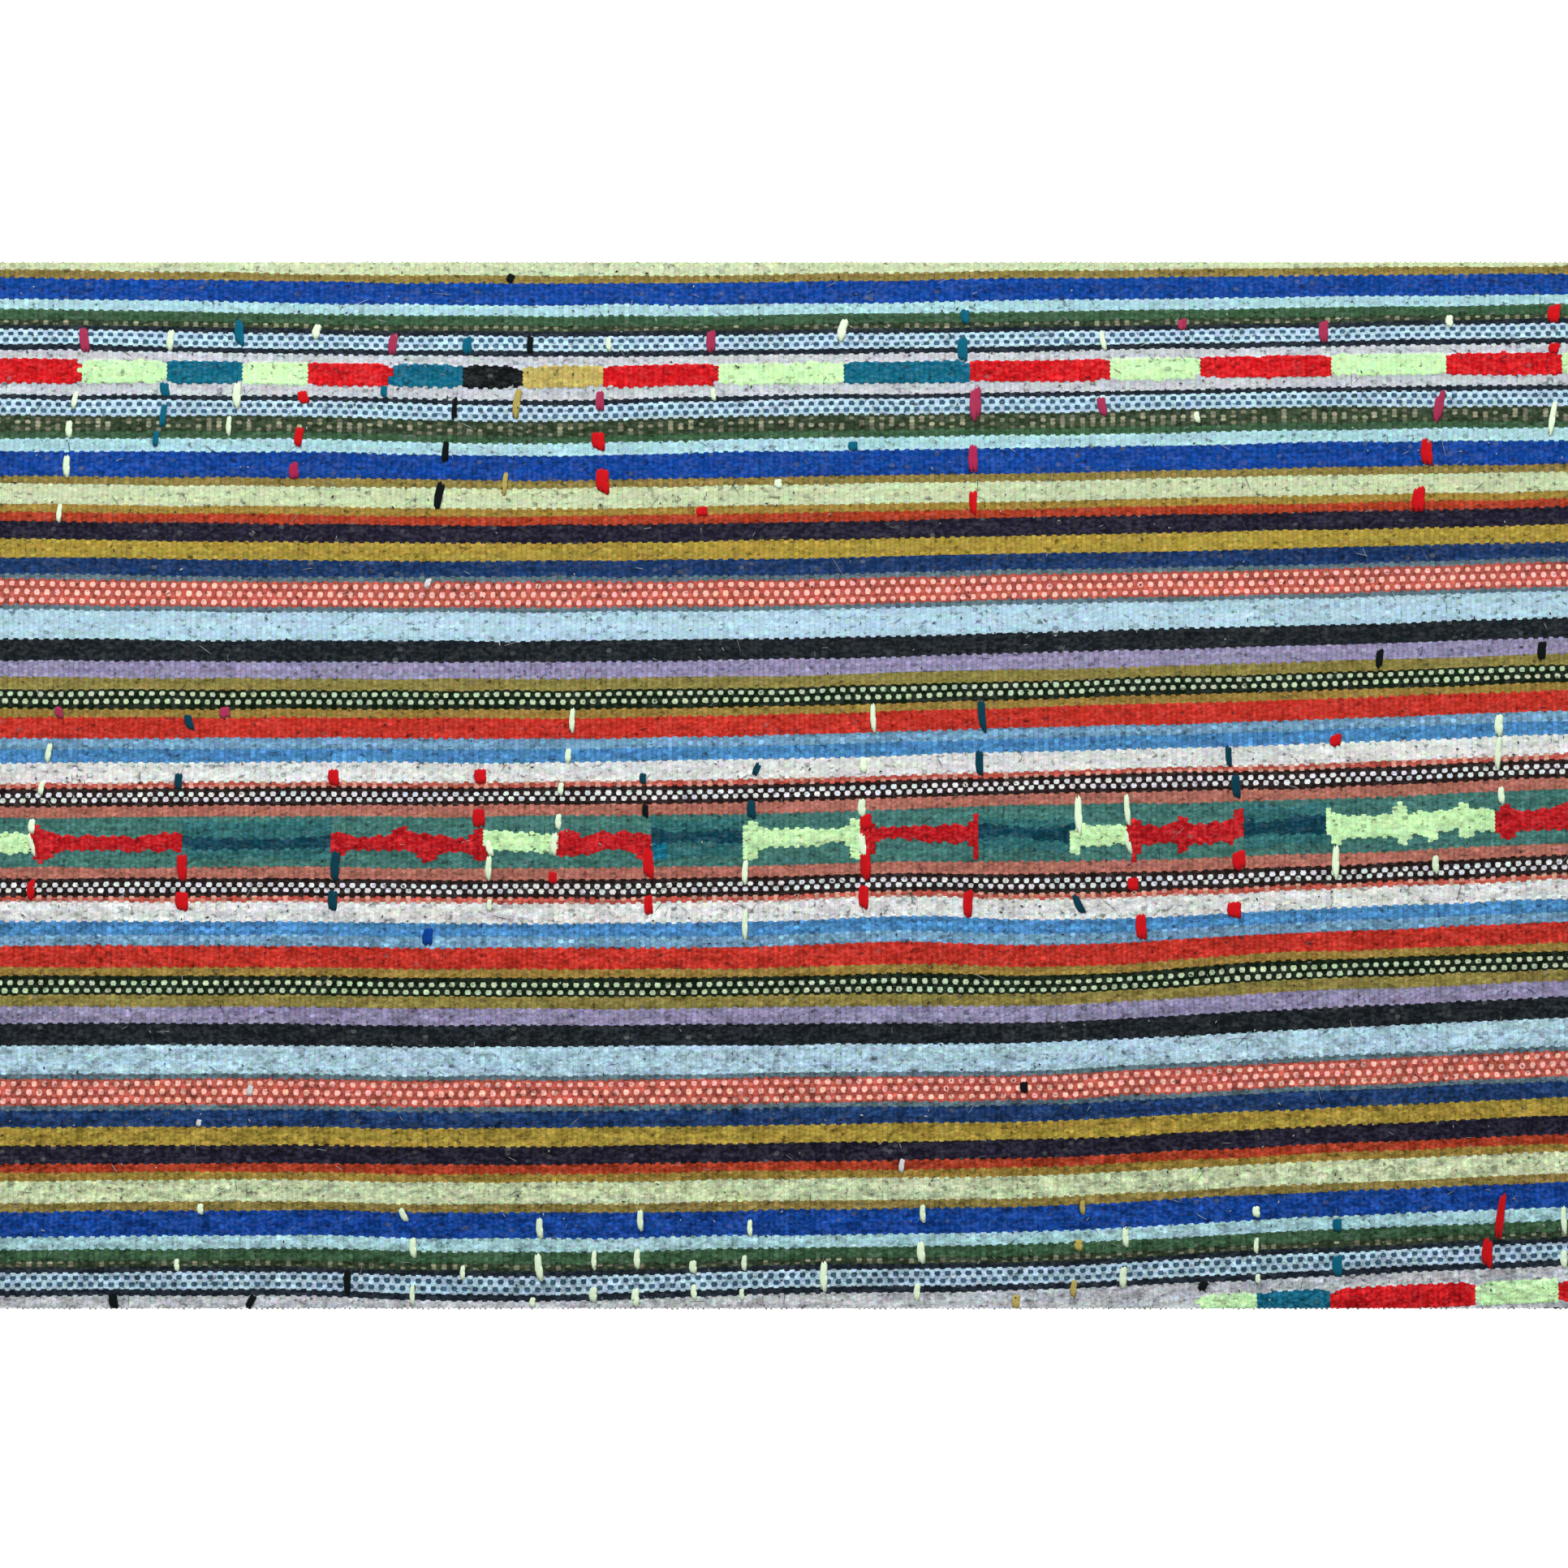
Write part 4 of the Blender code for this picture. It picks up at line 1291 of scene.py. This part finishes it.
def grow(name, mesh, tree, material, **sizes):
    """Runs a tree on a mesh and returns its result as a plain mesh object."""
    seed = bpy.data.objects.new(name + "_seed", mesh)
    bpy.context.scene.collection.objects.link(seed)
    modifier = seed.modifiers.new("Grow", "NODES")
    modifier.node_group = tree
    wanted = {"Material": material, **sizes}
    for item in tree.interface.items_tree:
        if item.item_type == "SOCKET" and item.in_out == "INPUT" and item.name in wanted:
            modifier[item.identifier] = wanted[item.name]
    bpy.context.view_layer.update()
    grown = seed.evaluated_get(bpy.context.evaluated_depsgraph_get())
    plain_mesh = bpy.data.meshes.new_from_object(grown)
    seed.modifiers.clear()
    bpy.data.objects.remove(seed, do_unlink=True)
    bpy.data.meshes.remove(mesh)
    plain_mesh.name = name
    piece = bpy.data.objects.new(name, plain_mesh)
    bpy.context.scene.collection.objects.link(piece)
    return piece


def join_rug(piece):
    """Makes a piece part of the rug."""
    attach(piece, BODY)


def height_at(x, y):
    """Height of the ground's face at one place."""
    return float(face_height(np.array([x]), np.array([y]))[0])


class YarnLengths:
    """Lengths of loose yarn: the place, turn, size and colour of each."""

    def __init__(self, places=(), turns=(), scales=(), dyes=()):
        self.places, self.turns = list(places), list(turns)
        self.scales, self.dyes = list(scales), list(dyes)

    def points(self, name):
        """A mesh of loose points that carry a turn, a size and a yarn colour each."""
        mesh = bpy.data.meshes.new(name)
        mesh.from_pydata([tuple(place) for place in self.places], [], [])
        turn = mesh.attributes.new("turn", "FLOAT", "POINT")
        turn.data.foreach_set("value", np.array(self.turns, float))
        size = mesh.attributes.new("size", "FLOAT_VECTOR", "POINT")
        size.data.foreach_set("vector", np.array(self.scales, float).ravel())
        colours = np.column_stack((np.clip(self.dyes, 0, 1), np.ones(len(self.places))))
        yarn = mesh.attributes.new("yarn", "FLOAT_COLOR", "POINT")
        yarn.data.foreach_set("color", colours.ravel())
        return mesh

    def lay(self, name, yarn, pitch, **sizes):
        """Grows the lengths as one piece of the rug; pitch is how long one twist of the plies is."""
        points = self.points(name + "_points")
        piece = grow(name, points, yarn_length_tree(), loose_yarn_material(yarn, pitch), **sizes)
        piece.data.shade_smooth()
        join_rug(piece)


class RUG_OT_woven_bands(Operator):
    """Weave the striped ground and its blocks, in bands side by side"""

    bl_idname = "rug.woven_bands"
    bl_label = "Woven bands"

    def execute(self, context):
        sizes = context.scene.rug_sizes
        loom = Loom(sizes, context.scene.rug_colours)
        borders, seams = loom.seams()
        material, tree = woven_material(), relief_tree()
        for k, (top, bottom) in enumerate(zip([None] + seams, seams + [None]), start=1):
            band = BandMesh(loom, top, bottom, borders)
            name = f"woven_band_{k}"
            piece = grow(
                name, band.mesh(name + "_plan"), tree, material, Crown=sizes.crown,
                Shoulder=sizes.shoulder, Bulge=sizes.bulge, Unevenness=sizes.uneven,
                Wander=sizes.wander, Seed=sizes.seed,
            )
            piece.data.set_sharp_from_angle(angle=SHARP_ANGLE)
            join_rug(piece)
            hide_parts(NODE)
            width = 2 * half_width(np.array(band.co)[:, 1].mean())
            tall = band.tall()
        return {"FINISHED"}


class RUG_OT_trails(Operator):
    """Lay the lengths of block yarn that cross the stripes"""

    bl_idname = "rug.trails"
    bl_label = "Lengths of block yarn"

    def execute(self, context):
        sizes, colours = context.scene.rug_sizes, context.scene.rug_colours
        rng = np.random.default_rng(sizes.seed + 1)
        lengths = YarnLengths()
        for name, trails in TRAILS.items():
            dye = np.array(getattr(colours, property_name(name)))
            for trail in trails:
                self.add_trail(lengths, trail, name, dye, sizes, rng)
        lengths.lay(
            "block_yarn_lengths", "block_yarn", TRAIL_PITCH, Sides=8, Rings=9, Arch=0.12, Tuck=0.8
        )
        return {"FINISHED"}

    def add_trail(self, lengths, trail, name, dye, sizes, rng):
        """One length of yarn, or two side by side of a yarn that lies in pairs."""
        x, top = from_photo(trail.x_px, trail.top_px)
        bottom = from_photo(trail.x_px, trail.bottom_px)[1]
        lean = trail.lean_px * VIEW_WIDTH / PHOTO_SIDE
        y = (top + bottom) / 2
        z = height_at(x, y) - TRAIL_SINK
        width = sizes.trail_width * PAIRED_YARNS.get(name, 1.0) * rng.uniform(*TRAIL_WIDTHS)
        length = math.hypot(top - bottom, lean) + TRAIL_OVERLAP
        turn = -math.atan2(lean, top - bottom)
        for side in (-1, 1) if name in PAIRED_YARNS else (0,):
            share = 1.0 if side == 0 else rng.uniform(*PAIR_WIDTHS)
            shift = side * width * PAIR_PART
            lengths.places.append((x + shift, y + side * rng.normal() * PAIR_SLIP * length, z))
            lengths.turns.append(turn + rng.normal() * TRAIL_TURN)
            shown = length * rng.uniform(*TRAIL_LENGTHS)
            lengths.scales.append((width * share, shown, sizes.trail_height))
            lengths.dyes.append(dye * rng.uniform(*TRAIL_TONES))


class RUG_OT_fibres(Operator):
    """Scatter loose fibres over the face, dark on the pale stripes and pale on the dark ones"""

    bl_idname = "rug.fibres"
    bl_label = "Loose fibres"

    def execute(self, context):
        sizes = context.scene.rug_sizes
        loom = Loom(sizes, context.scene.rug_colours)
        rng = np.random.default_rng(sizes.seed + 2)
        rows = rng.integers(8, len(loom.picks) - 8, sizes.fibres)
        columns = rng.integers(6, 2 * loom.warps - 6, sizes.fibres)
        x, y = loom.x[rows, columns], loom.y[rows, columns]
        light = loom.palette[loom.kinds[rows, columns // 2]] @ LIGHTNESS
        chance = np.where(light > KEEPING_STRIPE, 1.0, DARKER_CHANCE)
        keep = (np.abs(y) < LENGTH / 2 - FIBRE_MARGIN) & (rng.random(len(y)) < chance)
        light, x, y = light[keep], x[keep], y[keep]
        count = len(x)
        dyes = np.where((light > PALE_STRIPE)[:, None], DARK_FIBRE, PALE_FIBRE)
        dyes = dyes * rng.uniform(*FIBRE_TONES, (count, 1))
        speck = rng.random(count) < SPECK_SHARE
        short, long = rng.uniform(*SPECK_LENGTHS, count), rng.gamma(3.0, 0.8, count) + 0.8
        lengths = np.where(speck, short, long) * MM
        thick, thin = rng.uniform(*SPECK_WIDTHS, count), rng.uniform(*FIBRE_WIDTHS, count)
        share = np.where(speck, thick, thin)
        widths = sizes.fibre_width * share
        turns = rng.uniform(-math.pi / 2, math.pi / 2, count)
        places = np.column_stack((x, y, face_height(x, y) + FIBRE_LIFT))
        fibres = YarnLengths(places, turns, np.column_stack((widths, lengths, widths)), dyes)
        fibres.lay("loose_fibres", "loose_fibre", FIBRE_PITCH, Sides=3, Rings=5, Arch=0.3, Tuck=0.6)
        return {"FINISHED"}


class RUG_OT_warp_ends(Operator):
    """Show the cut warps along both cut edges"""

    bl_idname = "rug.warp_ends"
    bl_label = "Cut warps"

    def execute(self, context):
        sizes, colours = context.scene.rug_sizes, context.scene.rug_colours
        rng = np.random.default_rng(sizes.seed + 3)
        ends = YarnLengths()
        for side in (-1, 1):
            edge = side * LENGTH / 2
            for warp in range(sizes.warps):
                fraction = (warp + 0.5) / sizes.warps * 2 - 1
                x = fraction * half_width(edge)
                length = rng.uniform(*WARP_END_LENGTHS) * MM
                wide = sizes.warp_end * rng.uniform(*WARP_END_WIDTHS)
                middle = height_at(x, edge) * WARP_END_HEIGHT + rng.normal() * 0.08 * MM
                ends.places.append((x, edge - side * WARP_END_SINK, middle))
                ends.turns.append(rng.normal() * 0.12)
                ends.scales.append((wide, length, wide))
                ends.dyes.append(np.array(colours.warp) * rng.uniform(*WARP_END_TONES))
        ends.lay("cut_warps", "cut_warp", WARP_PITCH, Sides=7, Rings=4, Arch=0.0, Tuck=0.15)
        return {"FINISHED"}


class RUG_OT_stage(Operator):
    """Set the floor, the soft light and the camera straight above"""

    bl_idname = "rug.stage"
    bl_label = "Stage"

    def execute(self, context):
        stage = context.scene.rug_stage
        self.add_floor(stage)
        self.add_light(stage)
        self.add_camera(context.scene)
        return {"FINISHED"}

    def add_floor(self, stage):
        half = FLOOR_SIDE / 2
        mesh = bpy.data.meshes.new("floor")
        corners = [(-half, -half, 0), (half, -half, 0), (half, half, 0), (-half, half, 0)]
        mesh.from_pydata(corners, [], [(0, 1, 2, 3)])
        floor = bpy.data.objects.new("floor", mesh)
        floor.location.z = -FLOOR_DROP
        bpy.context.scene.collection.objects.link(floor)
        material = bpy.data.materials.new("floor_paper")
        material.use_nodes = True
        shader = material.node_tree.nodes["Principled BSDF"]
        shader.inputs["Base Color"].default_value = (*stage.floor, 1.0)
        shader.inputs["Roughness"].default_value = 0.95
        shader.inputs["Specular IOR Level"].default_value = 0.1
        shader.inputs["Emission Color"].default_value = (1.0, 1.0, 1.0, 1.0)
        shader.inputs["Emission Strength"].default_value = FLOOR_GLOW
        mesh.materials.append(material)

    def add_light(self, stage):
        world = bpy.data.worlds.new("soft_sky")
        world.use_nodes = True
        background = world.node_tree.nodes["Background"]
        background.inputs["Color"].default_value = (1.0, 1.0, 1.0, 1.0)
        background.inputs["Strength"].default_value = stage.sky
        bpy.context.scene.world = world
        lamp = bpy.data.lights.new("key", "AREA")
        lamp.shape = "RECTANGLE"
        lamp.size, lamp.size_y = KEY_SIZE
        lamp.energy = stage.key
        light = bpy.data.objects.new("key", lamp)
        light.location = KEY_PLACE
        light.rotation_euler = KEY_TURN
        bpy.context.scene.collection.objects.link(light)

    def add_camera(self, scene):
        data = bpy.data.cameras.new("camera")
        data.lens, data.sensor_width = LENS, SENSOR
        data.clip_start, data.clip_end = 0.05, 30.0
        camera = bpy.data.objects.new("camera", data)
        away = VIEW_WIDTH * LENS / SENSOR
        camera.location = (0.0, VIEW_CENTRE_Y, GROUND_THICKNESS + away)
        scene.collection.objects.link(camera)
        scene.camera = camera
        scene.view_settings.view_transform = "Standard"


class RUG_PT_builder(Panel):
    """Sizes, colours and steps of the rug"""

    bl_idname = "RUG_PT_builder"
    bl_label = "Striped rug"
    bl_space_type = "VIEW_3D"
    bl_region_type = "UI"
    bl_category = "Rug"

    def draw(self, context):
        for group in (context.scene.rug_sizes, context.scene.rug_stage, context.scene.rug_colours):
            box = self.layout.box()
            for name in group.__annotations__:
                box.prop(group, name)
        for step in STEPS:
            self.layout.operator(step.bl_idname)


STEPS = [RUG_OT_woven_bands, RUG_OT_trails, RUG_OT_fibres, RUG_OT_warp_ends, RUG_OT_stage]
CLASSES = [YarnColours, WeaveSizes, StageSettings, *STEPS, RUG_PT_builder]


def register():
    for cls in CLASSES:
        bpy.utils.register_class(cls)
    bpy.types.Scene.rug_colours = PointerProperty(type=YarnColours)
    bpy.types.Scene.rug_sizes = PointerProperty(type=WeaveSizes)
    bpy.types.Scene.rug_stage = PointerProperty(type=StageSettings)


def unregister():
    del bpy.types.Scene.rug_stage
    del bpy.types.Scene.rug_sizes
    del bpy.types.Scene.rug_colours
    for cls in reversed(CLASSES):
        bpy.utils.unregister_class(cls)


def main():
    register()
    for step in STEPS:
        family, name = step.bl_idname.split(".")
        getattr(getattr(bpy.ops, family), name)()


if __name__ == "__main__":
    main()
